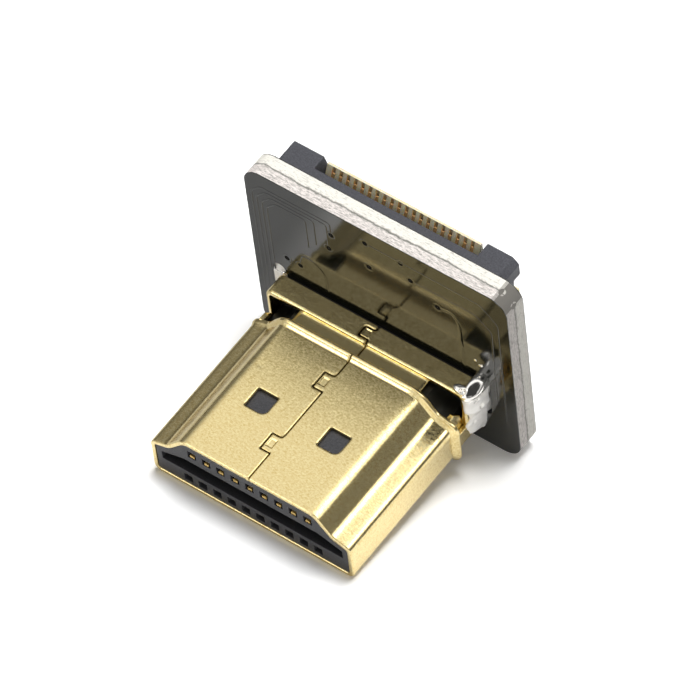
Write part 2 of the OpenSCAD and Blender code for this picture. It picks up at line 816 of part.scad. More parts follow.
// Contact: a foot on the board, a post through the back wall and a beam along its slot, bowed
// out to the ribbon
module ribbon_contact(i) {
  t = 0.18;
  beam = slot_end - 0.1 - t;
  top = comb_z - 0.4;
  bow_z = top - 1.3;
  color("#b98a3e")
    side_cut(way_x(i) - way_t / 2, way_t)
      polygon(off_board([
        [0, housing_low - way_foot],
        [t, housing_low - way_foot],
        [t, housing_low - 0.15],
        [beam + t, housing_low + 0.35],
        [beam + t, top],
        [beam + 0.6 * t, top],
        [roof_low - 0.1, bow_z],
        [beam, bow_z - 0.5],
        [beam, housing_low + 0.5],
        [0, housing_low + 0.12]]));
}

module ribbon_anchor() {
  low = housing_low + anchor_set_in;
  high = shoulder_z - anchor_set_in;
  half = housing_half;
  span([half, board_back, low], [half + anchor_t, board_back + anchor_h, high]);
  span([half + anchor_t - lap, board_back, low + anchor_t],
       [half + anchor_t + anchor_foot, board_back + anchor_t, high - anchor_t]);
}

module ribbon_anchor_left() {
  color("#c4c4c0")
    translate([ribbon_x, 0, 0])
      mirror([1, 0, 0])
        ribbon_anchor();
}

module ribbon_anchor_right() {
  color("#c4c4c0")
    translate([ribbon_x, 0, 0])
      ribbon_anchor();
}

// Small fillets at the heel of each contact's foot
module ribbon_solder() {
  color("#c8c8c4")
    for (i = [0:ways - 1])
      side_cut(way_x(i) - way_t / 2, way_t)
        polygon(off_board([
          [0, housing_low - way_foot],
          [fillet_h, housing_low - way_foot],
          [fillet_h / 3, housing_low - way_foot - fillet_run * 0.7],
          [0, housing_low - way_foot - fillet_run]]));
}

at_rest() board();
at_rest() plug_shell();
at_rest() front_insulator();
at_rest() rear_insulator();
at_rest() pin_solder();
at_rest() leg_solder_left();
at_rest() leg_solder_right();
at_rest() ribbon_housing();
at_rest() ribbon_slider();
at_rest() ribbon_anchor_left();
at_rest() ribbon_anchor_right();
at_rest() ribbon_solder();
for (i = [0:len(PLUG_CONTACTS) - 1])
  at_rest() plug_contact(i);
for (i = [0:len(RIBBON_CONTACTS) - 1])
  at_rest() ribbon_contact(i);
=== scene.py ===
"""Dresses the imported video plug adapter: gold-plated shell, black board, ribbon connector."""
import math
import bmesh
import bpy
import numpy as np
from mathutils import Matrix, Vector


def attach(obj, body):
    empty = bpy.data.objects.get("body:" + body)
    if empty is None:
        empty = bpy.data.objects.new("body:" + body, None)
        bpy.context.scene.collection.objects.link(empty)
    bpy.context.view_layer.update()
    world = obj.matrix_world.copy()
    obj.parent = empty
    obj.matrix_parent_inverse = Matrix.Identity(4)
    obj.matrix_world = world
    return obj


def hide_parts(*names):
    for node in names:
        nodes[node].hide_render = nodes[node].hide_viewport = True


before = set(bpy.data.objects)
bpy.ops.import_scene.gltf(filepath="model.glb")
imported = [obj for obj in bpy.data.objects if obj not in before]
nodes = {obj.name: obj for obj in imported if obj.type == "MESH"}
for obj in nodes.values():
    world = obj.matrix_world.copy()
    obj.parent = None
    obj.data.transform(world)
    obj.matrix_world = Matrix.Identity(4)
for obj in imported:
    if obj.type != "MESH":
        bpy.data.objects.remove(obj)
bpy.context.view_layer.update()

# Studio: the part lies on a white sweep under a large overhead softbox, seen from its right front
# from above, as a product picture is taken with a long lens.
board_y, board_drop = 12.62, 1.85  # the board's front face, and how far its foot hangs below the plug
tip = math.atan(board_drop / board_y)  # the plug is tipped nose down until its mouth and that foot touch
shift = (-0.265, -7.2185, 0.0)  # mm, from the plug's own frame to the resting one


def rest(points):
    """From the plug's own frame in mm to the scene in metres: turned by the tip about X, then shifted."""
    p = np.asarray(points, float)
    y = p[..., 1] * math.cos(tip) - p[..., 2] * math.sin(tip)
    z = p[..., 1] * math.sin(tip) + p[..., 2] * math.cos(tip)
    return (np.stack([p[..., 0], y, z], axis=-1) + shift) / 1000


def linear(hex_colour):
    """sRGB hex to linear light: the low part divided by 12.92, the rest a power of 2.4."""
    c = np.array([int(hex_colour[i:i + 2], 16) for i in (1, 3, 5)]) / 255
    return (*np.where(c <= 0.04045, c / 12.92, ((c + 0.055) / 1.055) ** 2.4), 1.0)


def add(tree, kind, values={}, links={}, stops=(), **settings):
    """Adds a shader node of a kind with its settings, its sockets' values, the sockets or nodes that feed
    them (a node gives its first live output), and a colour ramp's two stops as (place, hex)."""
    node = tree.nodes.new("ShaderNode" + kind)
    for name, value in settings.items():
        setattr(node, name, value)
    for name, value in values.items():
        node.inputs[name].default_value = value
    for name, source in links.items():
        if isinstance(source, bpy.types.Node):
            source = next(output for output in source.outputs if output.enabled)
        tree.links.new(source, node.inputs[name])
    for end, (place, colour) in enumerate(stops):
        node.color_ramp.elements[end].position, node.color_ramp.elements[end].color = place, linear(colour)
    return node


def stand(place, *axes):
    """The matrix of an object that stands at a place with its own axes along three directions."""
    return Matrix.LocRotScale(place, Matrix(np.stack(axes, axis=1)).to_quaternion(), None)


scene = bpy.context.scene
scene.view_settings.view_transform = "Standard"

camera = bpy.data.objects.new("camera", bpy.data.cameras.new("camera"))
camera.data.lens = 372.1
camera.data.sensor_width = 36
camera.data.clip_end = 10
right = np.array((0.80649686, 0.59119946, 0.00678359))
down = np.array((0.43932784, -0.59156086, -0.67605236))
forward = np.array((-0.39566889, 0.54821433, -0.73682235))
camera.matrix_world = stand(np.array((159.39447651, -219.44757186, 303.73843859)) / 1000, right, -down, -forward)
scene.collection.objects.link(camera)
scene.camera = camera

world = bpy.data.worlds.new("white_tent")
scene.world = world
world.use_nodes = True
tree = world.node_tree
tree.nodes.clear()
path = add(tree, "LightPath")
glossy = add(tree, "Math", links={0: path.outputs["Is Camera Ray"], 1: path.outputs["Is Glossy Ray"]},
             operation="MAXIMUM")
seen = add(tree, "Math", links={0: glossy, 1: path.outputs["Is Transmission Ray"]}, operation="MAXIMUM")
around = add(tree, "TexCoord").outputs["Generated"]
# what lights the matt surfaces: a dim room, and a window low at the right
window = add(tree, "VectorMath", {1: (0.82, -0.56, 0.12)}, {0: around}, operation="DOT_PRODUCT")
room = add(tree, "MapRange", {"From Min": 0.75, "From Max": 0.95, "To Min": 0.12, "To Max": 1.6}, {"Value": window})
soft = add(tree, "Background", {"Color": (1, 1, 1, 1)}, {"Strength": room})
# what the metal mirrors: the white tent above and in front, its grey walls behind and at the sides
look = add(tree, "SeparateXYZ", links={"Vector": around})
height = add(tree, "MapRange", {"From Min": 0.36, "From Max": 0.86, "To Min": 0.15, "To Max": 1.0},
             {"Value": look.outputs["Z"]}, interpolation_type="SMOOTHSTEP")
front = add(tree, "MapRange", {"From Min": 0.2, "From Max": 0.8, "To Min": 0.0, "To Max": 0.7},
            {"Value": add(tree, "Math", {1: -1.0}, {0: look.outputs["Y"]}, operation="MULTIPLY")})
tent = add(tree, "Math", links={0: height, 1: front}, operation="ADD", use_clamp=True)
# the black camera hides a round patch of the tent: what faces the lens mirrors it
lens = add(tree, "VectorMath", {1: -forward}, {0: around}, operation="DOT_PRODUCT")
beside = add(tree, "MapRange", {"From Min": 0.93, "From Max": 0.985, "To Min": 1.0, "To Max": 0.04}, {"Value": lens},
             interpolation_type="SMOOTHSTEP")
walls = add(tree, "Math", links={0: tent, 1: beside}, operation="MULTIPLY")
level = add(tree, "Math", links={0: walls, 1: path.outputs["Is Camera Ray"]}, operation="MAXIMUM")
white = add(tree, "Background", {"Color": (1, 1, 1, 1)}, {"Strength": level})
both = add(tree, "MixShader", links={0: seen, 1: soft, 2: white})
add(tree, "OutputWorld", links={"Surface": both})

floor = bpy.data.objects.new("floor", bpy.data.meshes.new("floor"))
floor_half = 3.0  # m
floor.data.from_pydata([(x * floor_half, y * floor_half, 0) for x, y in ((-1, -1), (1, -1), (1, 1), (-1, 1))], [],
                       [(0, 1, 2, 3)])
scene.collection.objects.link(floor)
material = bpy.data.materials.new("white_card")
material.use_nodes = True
tree = material.node_tree
tree.nodes.clear()
path = add(tree, "LightPath")
card = add(tree, "BsdfDiffuse", {"Color": (0.8, 0.8, 0.8, 1)})
bright = add(tree, "BsdfDiffuse", {"Color": (1.15, 1.15, 1.15, 1)})
# the sweep is painted grey to what mirrors it from far left, a painted shade in those reflections, and white nearer
# by
place = add(tree, "SeparateXYZ", links={"Vector": add(tree, "TexCoord").outputs["Object"]})
shade = add(tree, "MapRange", {"From Min": -0.0115, "From Max": -0.009, "To Min": 0.5, "To Max": 0.9},
            {"Value": place.outputs["X"]}, interpolation_type="SMOOTHSTEP")
mirrored = add(tree, "BsdfDiffuse", links={"Color": shade})
both = add(tree, "MixShader", links={0: path.outputs["Is Camera Ray"], 1: card, 2: bright})
both = add(tree, "MixShader", links={0: path.outputs["Is Glossy Ray"], 1: both, 2: mirrored})
add(tree, "OutputMaterial", links={"Surface": both})
floor.data.materials.append(material)

# One soft lamp overhead lights everything. The white cards shine only on what mirrors them: over the
# right rear they give the bends their white line, a small one in a wide dim one, and in front they light the lip.
for name, place, size, power, cards in (
        ("softbox", (0.0, 0.062, 0.5), 0.27, 2.8, False),
        ("card_right", (0.27, 0.17, 0.40), 0.20, 0.14, True),
        ("card_right_wide", (0.33, 0.20, 0.46), 0.46, 0.6, True),
        ("card_front", (-0.2, -0.41, 0.20), 0.20, 0.30, True)):
    lamp = bpy.data.objects.new(name, bpy.data.lights.new(name, "AREA"))
    lamp.data.shape = "DISK"
    lamp.data.size = size
    lamp.data.energy = power
    z = np.array(place) / np.linalg.norm(place)
    x = np.cross((0, 1, 0), z)
    x /= np.linalg.norm(x)
    lamp.matrix_world = stand(place, x, np.cross(z, x), z)
    lamp.visible_diffuse = not cards
    lamp.visible_glossy = cards
    scene.collection.objects.link(lamp)


def start_material(name):
    """A new material, its node tree, and the object's place turned back into the plug's own frame, in mm."""
    material = bpy.data.materials.new(name)
    material.use_nodes = True
    tree = material.node_tree
    tree.nodes.clear()
    moved = Matrix.Rotation(-tip, 3, "X") @ -Vector(shift)
    own = add(tree, "Mapping", {"Location": moved, "Rotation": (-tip, 0, 0), "Scale": (1000, 1000, 1000)},
              {"Vector": add(tree, "TexCoord").outputs["Object"]})
    return material, tree, own


# Plug shell: one brass sheet, 0.3 mm thick, folded to a D, locked along its seam by tabs with a punched
# square in each, flared to a lip behind, and plated bright gold over nickel. All sizes are in mm.
sheet = 0.3
shell_w, shell_h, narrow_w = 13.9, 4.45, 9.2
slope_run, ledge_z, side_z = 1.15, 3.15, 2.75  # the slopes' width, and the heights where they and the ledges end
lip_rise, lip_start, lip_end = 0.25, 9.48, 9.95
seam_x, tab_w = 0.1, 0.7
grid = 0.025  # finest spacing, so that three quads span the seam

gold, tree, own = start_material("gold_plated_brass_rolled_and_folded")
# Rolled sheet keeps a fine pebbled grain under the plating: it breaks the mirror into small warm and
# olive flakes, on the flat faces only: the bends were burnished smooth by the folding tool. The grain
# is 0.03 mm on the real sheet and is drawn at 0.1 mm so that it shows. Where the sheet's edges meet,
# the moulding beneath shows dark.
squeezed = add(tree, "Mapping", {"Scale": (1.0, 1.6, 1.0), "Rotation": (0, 0, 0.35)}, {"Vector": own})
grain = add(tree, "TexNoise", {"Scale": 6.5, "Detail": 3.0, "Roughness": 0.6, "Distortion": 0.8},
            {"Vector": squeezed})
waves = add(tree, "TexNoise", {"Scale": 1.3, "Detail": 2.0, "Roughness": 0.5}, {"Vector": own})
along = add(tree, "SeparateXYZ", links={"Vector": own})
top = add(tree, "MapRange", {"From Min": 4.22, "From Max": 4.4}, {"Value": along.outputs["Z"]})
from_lip = add(tree, "Math", {1: 9.75}, {0: along.outputs["Y"]}, operation="SUBTRACT")
off_lip = add(tree, "MapRange", {"From Min": 0.24, "From Max": 0.42},
              {"Value": add(tree, "Math", links={0: from_lip}, operation="ABSOLUTE")})
rolled = add(tree, "Math", links={0: top, 1: off_lip}, operation="MULTIPLY")
flat = add(tree, "MapRange", {"To Min": 0.12, "To Max": 1.0}, {"Value": rolled})
tint = add(tree, "ValToRGB", links={"Fac": grain}, stops=((0.3, "#E3C884"), (0.7, "#FFEFB8")))
# toward the lip the face is painted darker and olive, a painted shade in what it mirrors there, and its flakes stand
# apart more
drawn = add(tree, "ValToRGB", links={"Fac": grain}, stops=((0.38, "#8E7F50"), (0.66, "#F0DFA6")))
rear = add(tree, "MapRange", {"From Min": 2.5, "From Max": 9.6, "To Min": 0.0, "To Max": 0.55},
           {"Value": along.outputs["Y"]}, interpolation_type="SMOOTHSTEP")
lip_shade_share = add(tree, "Math", links={0: rear, 1: flat}, operation="MULTIPLY")
plating = add(tree, "Mix", links={"Factor": lip_shade_share, "A": tint, "B": drawn}, data_type="RGBA")
# a scuff on the right ledge, just ahead of the lip, where the plug was gripped
to_scuff = add(tree, "VectorMath", {1: (6.3, 8.7, 3.0)}, {0: own}, operation="DISTANCE")
near_scuff = add(tree, "MapRange", {"From Min": 0.62, "From Max": 0.3}, {"Value": to_scuff})
scratch = add(tree, "TexNoise", {"Scale": 5.0, "Detail": 2.0, "Distortion": 1.5}, {"Vector": own})
marks = add(tree, "MapRange", {"From Min": 0.5, "From Max": 0.58, "To Max": 0.8}, {"Value": scratch})
scuff = add(tree, "Math", links={0: near_scuff, 1: marks}, operation="MULTIPLY")
scuffed = add(tree, "Mix", {"B": linear("#4E4424")}, {"Factor": scuff, "A": plating}, data_type="RGBA")
gap = add(tree, "Attribute", attribute_name="gap")
dark = add(tree, "Mix", {"B": linear("#15140F")}, {"Factor": gap.outputs["Fac"], "A": scuffed}, data_type="RGBA")
rough = add(tree, "MapRange", {"From Min": 0.12, "From Max": 1.0, "To Min": 0.19, "To Max": 0.3}, {"Value": flat})
fine = add(tree, "Math", links={0: grain, 1: flat}, operation="MULTIPLY")
pebble = add(tree, "Bump", {"Strength": 1.0, "Distance": 0.000005}, {"Height": fine})
buckle = add(tree, "Bump", {"Strength": 1.0, "Distance": 0.00001}, {"Height": waves, "Normal": pebble})
surface = add(tree, "BsdfPrincipled", {"Metallic": 1.0}, {"Base Color": dark, "Roughness": rough, "Normal": buckle})
add(tree, "OutputMaterial", links={"Surface": surface})


def make_piece(name, points, faces, material, smooth=True, mend=True, body="adapter", gap=None):
    """Makes an object of points in the plug's frame (mm), listed or on a grid, and faces, merges doubles
    and turns its faces outwards. `gap` is kept as an attribute: 1 where the seam is open."""
    mesh = bpy.data.meshes.new(name)
    faces = faces.tolist() if isinstance(faces, np.ndarray) else faces
    mesh.from_pydata(rest(points).reshape(-1, 3).tolist(), [], faces)
    if gap is not None:
        mesh.attributes.new("gap", "FLOAT", "POINT").data.foreach_set("value", np.ravel(gap).astype(np.float32))
    if mend:
        work = bmesh.new()
        work.from_mesh(mesh)
        bmesh.ops.remove_doubles(work, verts=work.verts, dist=2e-7)
        bmesh.ops.recalc_face_normals(work, faces=work.faces)
        work.to_mesh(mesh)
        work.free()
    mesh.polygons.foreach_set("use_smooth", np.full(len(mesh.polygons), smooth))
    mesh.materials.append(material)
    piece = bpy.data.objects.new(name, mesh)
    scene.collection.objects.link(piece)
    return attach(piece, body)


def unit(a):
    """Unit vectors at angles: (cos a, sin a)."""
    return np.stack([np.cos(a), np.sin(a)], axis=1)


def fold_line(corners, steps, along={}):
    """Points and outward normals round a closed outline of corners (x, z, bend radius), anticlockwise.
    Each bend is an arc that touches its two straight edges, and `along` adds points to the edge after
    a corner, at distances from that corner."""
    corners = np.asarray(corners, float)
    ways = np.roll(corners[:, :2], -1, axis=0) - corners[:, :2]
    lengths = np.linalg.norm(ways, axis=1)
    ways /= lengths[:, None]
    before = np.roll(ways, 1, axis=0)
    turns = np.arctan2(before[:, 0] * ways[:, 1] - before[:, 1] * ways[:, 0], (before * ways).sum(1))
    trims = corners[:, 2] * np.tan(np.abs(turns) / 2)
    points, normals = [], []
    for i, (corner, turn, trim) in enumerate(zip(corners, turns, trims)):
        out = np.array((before[i][1], -before[i][0]))
        centre = corner[:2] - trim * before[i] - np.sign(turn) * corner[2] * out
        t = np.linspace(0, turn, steps + 1)
        arc = np.stack([out[0] * np.cos(t) - out[1] * np.sin(t), out[0] * np.sin(t) + out[1] * np.cos(t)], axis=1)
        points.append(centre + np.sign(turn) * corner[2] * arc)
        normals.append(arc)
        s = np.asarray(along.get(i, ()), float)
        s = s[(s > trim + 0.01) & (s < lengths[i] - trims[(i + 1) % len(corners)] - 0.01)]
        points.append(corner[:2] + s[:, None] * ways[i])
        normals.append(np.tile((ways[i][1], -ways[i][0]), (len(s), 1)))
    return np.concatenate(points), np.concatenate(normals)


def merged(*runs):
    """Several runs of places along one axis as one: in order, and with no place twice."""
    return np.unique(np.round(np.concatenate(runs), 4))


def arc_section(centre, radius, start, end, steps=5):
    """Part of a section: a circle's arc about (height, depth), from one angle to another in degrees."""
    return centre + radius * unit(np.radians(np.linspace(start, end, steps + 1)))


def path_distance(x, y, path):
    """Distance from each (x, y) to the nearest segment of a path, worked out for all at once."""
    a, b = path[:-1], path[1:]
    d = b - a
    t = ((x[..., None] - a[:, 0]) * d[:, 0] + (y[..., None] - a[:, 1]) * d[:, 1]) / (d ** 2).sum(1)
    t = np.clip(t, 0, 1)
    return np.hypot(x[..., None] - a[:, 0] - t * d[:, 0], y[..., None] - a[:, 1] - t * d[:, 1]).min(-1)


def rounded_path(knots):
    """An open path through knots (x, y, radius) with each corner drawn as an arc of six steps."""
    knots = np.asarray(knots, float)
    points = [knots[0, :2]]
    for before, knot, after in zip(knots[:-2], knots[1:-1], knots[2:]):
        u = (before[:2] - knot[:2]) / np.linalg.norm(before[:2] - knot[:2])
        v = (after[:2] - knot[:2]) / np.linalg.norm(after[:2] - knot[:2])
        t = np.linspace(0, 1, 7)[:, None]
        points += list(knot[:2] + knot[2] * (u * (1 - t) ** 2 + v * t ** 2))
    return np.array(points + [knots[-1, :2]])


def tab_knots(y0, y1, front, left, rear):
    """The seam's way round one tab: out at its front, back along its side and home behind it."""
    x0, x1 = seam_x, seam_x - tab_w
    return [(x0, y0, front), (x1, y0, left), (x1, y1, left), (x0, y1, rear)]


def groove(distance, roll, half=0.04, depth=0.16):
    """Depth of the seam at a distance from its line: a steep gap, then a rolled edge that falls off as a square."""
    edge = 0.4 * roll * np.clip(1 - (distance - half) / roll, 0, 1) ** 2
    return np.where(distance < half, np.maximum(depth * (1 - distance / half / 2), edge), edge)


def stamp(x, y, middle, half, depth=0.09, slope=0.08):
    """A sunk oblong: its depth falls from full inside to nothing over its sloped sides."""
    out = np.maximum(np.abs(x - middle[0]) - half[0], np.abs(y - middle[1]) - half[1])
    return depth * np.clip(1 - out / slope, 0, 1)


def ring_faces(rows, columns):
    """Quads between rows of points that close on themselves, the last row joined to the first."""
    k, i = np.meshgrid(np.arange(rows), np.arange(columns), indexing="ij")
    j, l = (i + 1) % columns, (k + 1) % rows
    return np.stack([k * columns + i, k * columns + j, l * columns + j, l * columns + i], axis=-1).reshape(-1, 4)


def carried(section, line, relief):
    """A section of (height, depth) carried round an outline: each point is the outline's point plus its
    height along the outline's normal. `relief` sinks it along the section's own normal. What stands above
    the outline is the lip: it was knocked flat at its left end and spread at its right one."""
    points, normals = line
    ahead, behind = np.roll(section, -1, axis=0), np.roll(section, 1, axis=0)
    d = ahead - behind
    out = np.stack([d[:, 1], -d[:, 0]], axis=1) / np.linalg.norm(d, axis=1)[:, None]
    x = np.broadcast_to(points[None, :, 0], (len(section), len(points)))
    y = np.broadcast_to(section[:, 1, None], x.shape)
    outer = (normals[None, :, 1] > 0.995) & (points[None, :, 1] > 4) & (section[:, 0, None] > 0.02 - sheet)
    flare = np.interp(points[:, 0], (-7, -4.6, 4, 7), (0.35, 1, 1, 1.4))
    sink, gap = relief(x, y)
    sink = sink * outer
    height = np.where(section[:, :1] > 0, section[:, :1] * flare, section[:, :1]) - sink * out[:, 0, None]
    depth = section[:, 1, None] - sink * out[:, 1, None]
    return np.stack([points[None, :, 0] + height * normals[None, :, 0], depth,
                     points[None, :, 1] + height * normals[None, :, 1]], axis=-1), gap * outer


half_corners = [(shell_w / 2, 0, 0.5), (shell_w / 2, side_z, 0.5), (narrow_w / 2 + slope_run, ledge_z, 0.9),
                (narrow_w / 2, shell_h, 1.1)]
mirrored = [(-x, z, bend) for x, z, bend in half_corners]
nose_corners = mirrored[:1] + half_corners + mirrored[:0:-1]
window_x, window_y, window_half, patch_half = (seam_x - 2.5, seam_x + 2.5), 4.65, (0.7, 0.71), 1.0
seam_columns = np.arange(-1.0, 0.476, grid)
patch_columns = [np.linspace(x - patch_half, x + patch_half, 21) for x in window_x]
other_columns = [-4.3, -4.2, -4.1, -3.95, -3.8, -3.65, -1.3, -1.15, 0.6, 0.75, 0.9, 1.1, 1.3, 1.45, 3.75, 3.9, 4.05,
                 4.2, 4.3]
top_x = merged(seam_columns, *patch_columns, other_columns)
top_x = top_x[np.concatenate([[True], np.diff(top_x) > 0.012])]
side_lengths = {1: side_z, 2: 1.27, 3: 1.74, 5: 1.74, 6: 1.27, 7: side_z}  # of the walls, ledges and slopes
nose_line = fold_line(nose_corners, 8, {0: np.linspace(0, shell_w, 30), 4: (narrow_w / 2 - top_x)[::-1],
                                        **{k: np.linspace(0, length, 8) for k, length in side_lengths.items()}})
rows = merged(np.arange(0.1, 1.9, 0.1), np.arange(1.9, 3.4001, grid), np.linspace(3.65, 5.65, 21),
              np.arange(5.75, 6.85, 0.1), np.arange(6.85, 8.3501, grid), np.arange(8.45, 9.46, 0.1))
ramp = np.linspace(0, 1, 9)
section = np.concatenate([
    arc_section((-0.1, 0.1), 0.1, -90, 0)[:-1],
    np.stack([np.zeros(len(rows)), rows], axis=1),
    np.stack([np.interp(ramp, (0, 0.15, 0.6, 0.8, 1), (0, 0.02, 0.14, 0.22, lip_rise)), lip_start + 0.25 * ramp], 1),
    arc_section((lip_rise - 0.1, lip_end - 0.1), 0.1, 0, 90, 5),
    [(0.0, lip_end), (-0.05, lip_end), (-sheet, 9.7)],
    np.stack([np.full(25, -sheet), np.concatenate([[9.0, 7.0], np.linspace(5.65, 3.65, 21), [2.0, 0.5]])], axis=1),
    arc_section((0.04 - sheet, 0.04), 0.04, 180, 270, 2)])
seam_path = rounded_path([(seam_x, -1, 0)] + tab_knots(2.05, 3.25, 0.12, 0.1, 0.28)
                         + tab_knots(7.0, 8.2, 0.12, 0.1, 0.28) + [(seam_x, 13, 0)])


def seam_distance(x, y, path):
    """Distance from the seam, where a place is near enough to it to matter."""
    near = (x > -1.05) & (x < 0.6)
    distance = np.full(x.shape, 1.0)
    distance[near] = path_distance(x[near], y[near], path)
    return distance


def nose_relief(x, y):
    """The seam's groove, a punched square in each tab, and a dent by the left window's rear."""
    distance = seam_distance(x, y, seam_path)
    deep = groove(distance, np.where(x < seam_x, 0.11, 0.05))
    for middle in (2.65, 7.6):
        deep = np.maximum(deep, stamp(x, y, (seam_x - 0.35, middle), (0.17, 0.24)))
    dent = 0.05 * np.exp(-((x + 3.93) / 0.09) ** 2 - ((y - 6.6) / 0.16) ** 2)
    wide = np.where(x < seam_x - 0.03, 0.055, 0.04)
    return deep + dent, np.clip((wide - distance) / 0.02, 0, 1)


points, gap = carried(section, nose_line, nose_relief)
faces = ring_faces(*gap.shape)
flat_points = points.reshape(-1, 3)
corner_radii = (0.14, 0.38, 0.12, 0.12)  # worn punch: the corner at the front right of each window is the roundest


def window_outline(middle, out, fractions):
    """A window's outline moved out by `out`: at each share of a side, counted from a corner's middle."""
    (hx, hy), (cx, cy) = window_half, middle
    signs = ((-1, -1), (1, -1), (1, 1), (-1, 1))
    sides, loops = [], []
    for (sx, sy), radius in zip(signs, corner_radii):
        a = math.atan2(sy, sx) + np.linspace(-math.pi / 4, math.pi / 4, 13)
        centre = np.array((cx + sx * (hx - radius), cy + sy * (hy - radius)))
        loops.append(centre + (radius + out) * unit(a))
    for k in range(4):
        line = np.concatenate([loops[k][6:], loops[(k + 1) % 4][:7]])
        run = np.concatenate([[0], np.cumsum(np.linalg.norm(np.diff(line, axis=0), axis=1))])
        t = fractions[k] * run[-1]
        sides.append(np.stack([np.interp(t, run, line[:, 0]), np.interp(t, run, line[:, 1])], axis=1))
    return np.concatenate(sides)


patch_points, patch_faces, count = [flat_points], [], len(flat_points)
middle_of = flat_points[faces].mean(1)
keep = np.ones(len(faces), bool)
for x in window_x:
    off = np.abs(middle_of[:, :2] - (x, window_y)).max(1)
    keep &= (off >= patch_half) | (middle_of[:, 2] <= 4)
    xs = nose_line[0][(np.abs(nose_line[0][:, 0] - x) < patch_half + 0.0005) & (nose_line[0][:, 1] > 4), 0]
    xs, ys = np.unique(np.round(xs, 5)), np.linspace(window_y - patch_half, window_y + patch_half, 21)
    fx, fy = (xs - xs[0]) / (xs[-1] - xs[0]), (ys - ys[0]) / (ys[-1] - ys[0])
    along_x, along_y = np.ones(len(xs)), np.ones(len(ys))
    sides = ((xs, along_x * ys[0]), (along_y * xs[-1], ys), (xs[::-1], along_x * ys[-1]), (along_y * xs[0], ys[::-1]))
    square = np.concatenate([np.column_stack(side)[:-1] for side in sides])
    shares = [fx[:-1], fy[:-1], 1 - fx[::-1][:-1], 1 - fy[::-1][:-1]]
    a = np.radians(np.linspace(0, 90, 7))
    rings = [(square, shell_h)]
    wide = window_outline((x, window_y), 0.19, shares)
    rings += [(square * (1 - w) + wide * w, shell_h) for w in (0.4, 0.75, 1.0)]
    rings += [(window_outline((x, window_y), 0.17 * (1 - math.sin(t)), shares), shell_h - 0.09 * (1 - math.cos(t)))
              for t in a]
    rings += [(window_outline((x, window_y), 0.0, shares), shell_h - 0.2),
              (window_outline((x, window_y), 0.01, shares), shell_h - sheet),
              (square * 0.5 + wide * 0.5, shell_h - sheet), (square, shell_h - sheet)]
    stack = np.stack([np.column_stack([p, np.full(len(p), z)]) for p, z in rings])
    n = stack.shape[1]
    patch_points.append(stack.reshape(-1, 3))
    patch_faces.append(ring_faces(len(rings), n)[:(len(rings) - 1) * n] + count)
    count += len(rings) * n
faces = np.concatenate([faces[keep]] + patch_faces)
used, faces = np.unique(faces, return_inverse=True)
gap = np.concatenate([gap.ravel(), np.zeros(count - gap.size)])[used]
nose = make_piece("shell_nose", np.concatenate(patch_points)[used], faces.reshape(-1, 4), gold, gap=gap)
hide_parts("plug_shell")

# Collar: the same sheet folded to a box round the rear moulding. Two legs run from its sides through
# the board, and necks join it to the lip, stepped down by 0.3 mm.
collar_w, collar_h, neck_z = 13.8, 4.35, 4.05
collar_x_half = collar_w / 2
collar_corners = [(x * collar_x_half, z, 0.5) for x, z in ((-1, 0), (1, 0), (1, collar_h), (-1, collar_h))]
collar_x = merged(seam_columns, np.linspace(-6.2, -1.2, 21), np.linspace(0.65, 6.2, 23))
collar_line = fold_line(collar_corners, 8, {0: np.linspace(0, collar_w, 30), 1: np.linspace(0, collar_h, 12),
                                            2: (collar_x_half - collar_x)[::-1], 3: np.linspace(0, collar_h, 12)})
collar_path = rounded_path([(seam_x, 10, 0)] + tab_knots(11.33, 12.05, 0.16, 0.16, 0.2) + [(seam_x, 13, 0)])


def collar_relief(x, y):
    """The seam's wider groove through the collar, and the punched oblong in its tab."""
    distance = seam_distance(x, y, collar_path) - 0.02
    deep = np.maximum(groove(distance, 0.1), stamp(x, y, (seam_x - 0.35, 11.7), (0.17, 0.2)))
    return deep, np.clip((0.04 - distance) / 0.02, 0, 1)


rows = np.arange(11.2, 12.34, grid)
section = np.concatenate([arc_section((-0.18, 11.18), 0.18, -90, 0, 7), np.stack([np.zeros(len(rows)), rows], axis=1),
                          arc_section((-0.06, 12.34), 0.06, 0, 90, 3),
                          arc_section((0.04 - sheet, 12.36), 0.04, 90, 180, 2),
                          [(-sheet, y) for y in (12.0, 11.6, 11.2)],
                          arc_section((0.04 - sheet, 11.04), 0.04, 180, 270, 2)])
points, gap = carried(section, collar_line, collar_relief)
collar = make_piece("shell_collar", points, ring_faces(*gap.shape), gold, gap=gap)


def round_edges(piece, name, radius, segments):
    """Rounds a piece's edges by a bevel of a radius in mm, where its faces meet at 30 degrees or more."""
    bevel = piece.modifiers.new(name, "BEVEL")
    bevel.width, bevel.segments = radius / 1000, segments
    bevel.limit_method, bevel.angle_limit = "ANGLE", math.radians(30)
    bevel.harden_normals = True


def plate(name, outline, low, thick, axis=0):
    """A flat gold plate: an outline in the other two axes, from `low` to `low + thick` along one axis,
    with its edges rolled by a bevel of 0.05 mm."""
    outline = np.asarray(outline, float)
    n = len(outline)
    order = [k for k in range(3) if k != axis]
    points = np.zeros((2 * n, 3))
    points[:, order] = np.tile(outline, (2, 1))
    points[:n, axis], points[n:, axis] = low, low + thick
    sides = [[i, (i + 1) % n, n + (i + 1) % n, n + i] for i in range(n)]
    piece = make_piece(name, points, [list(range(n)), list(range(n, 2 * n))] + sides, gold, smooth=False)
    round_edges(piece, "rolled_edges", 0.05, 3)
    return piece


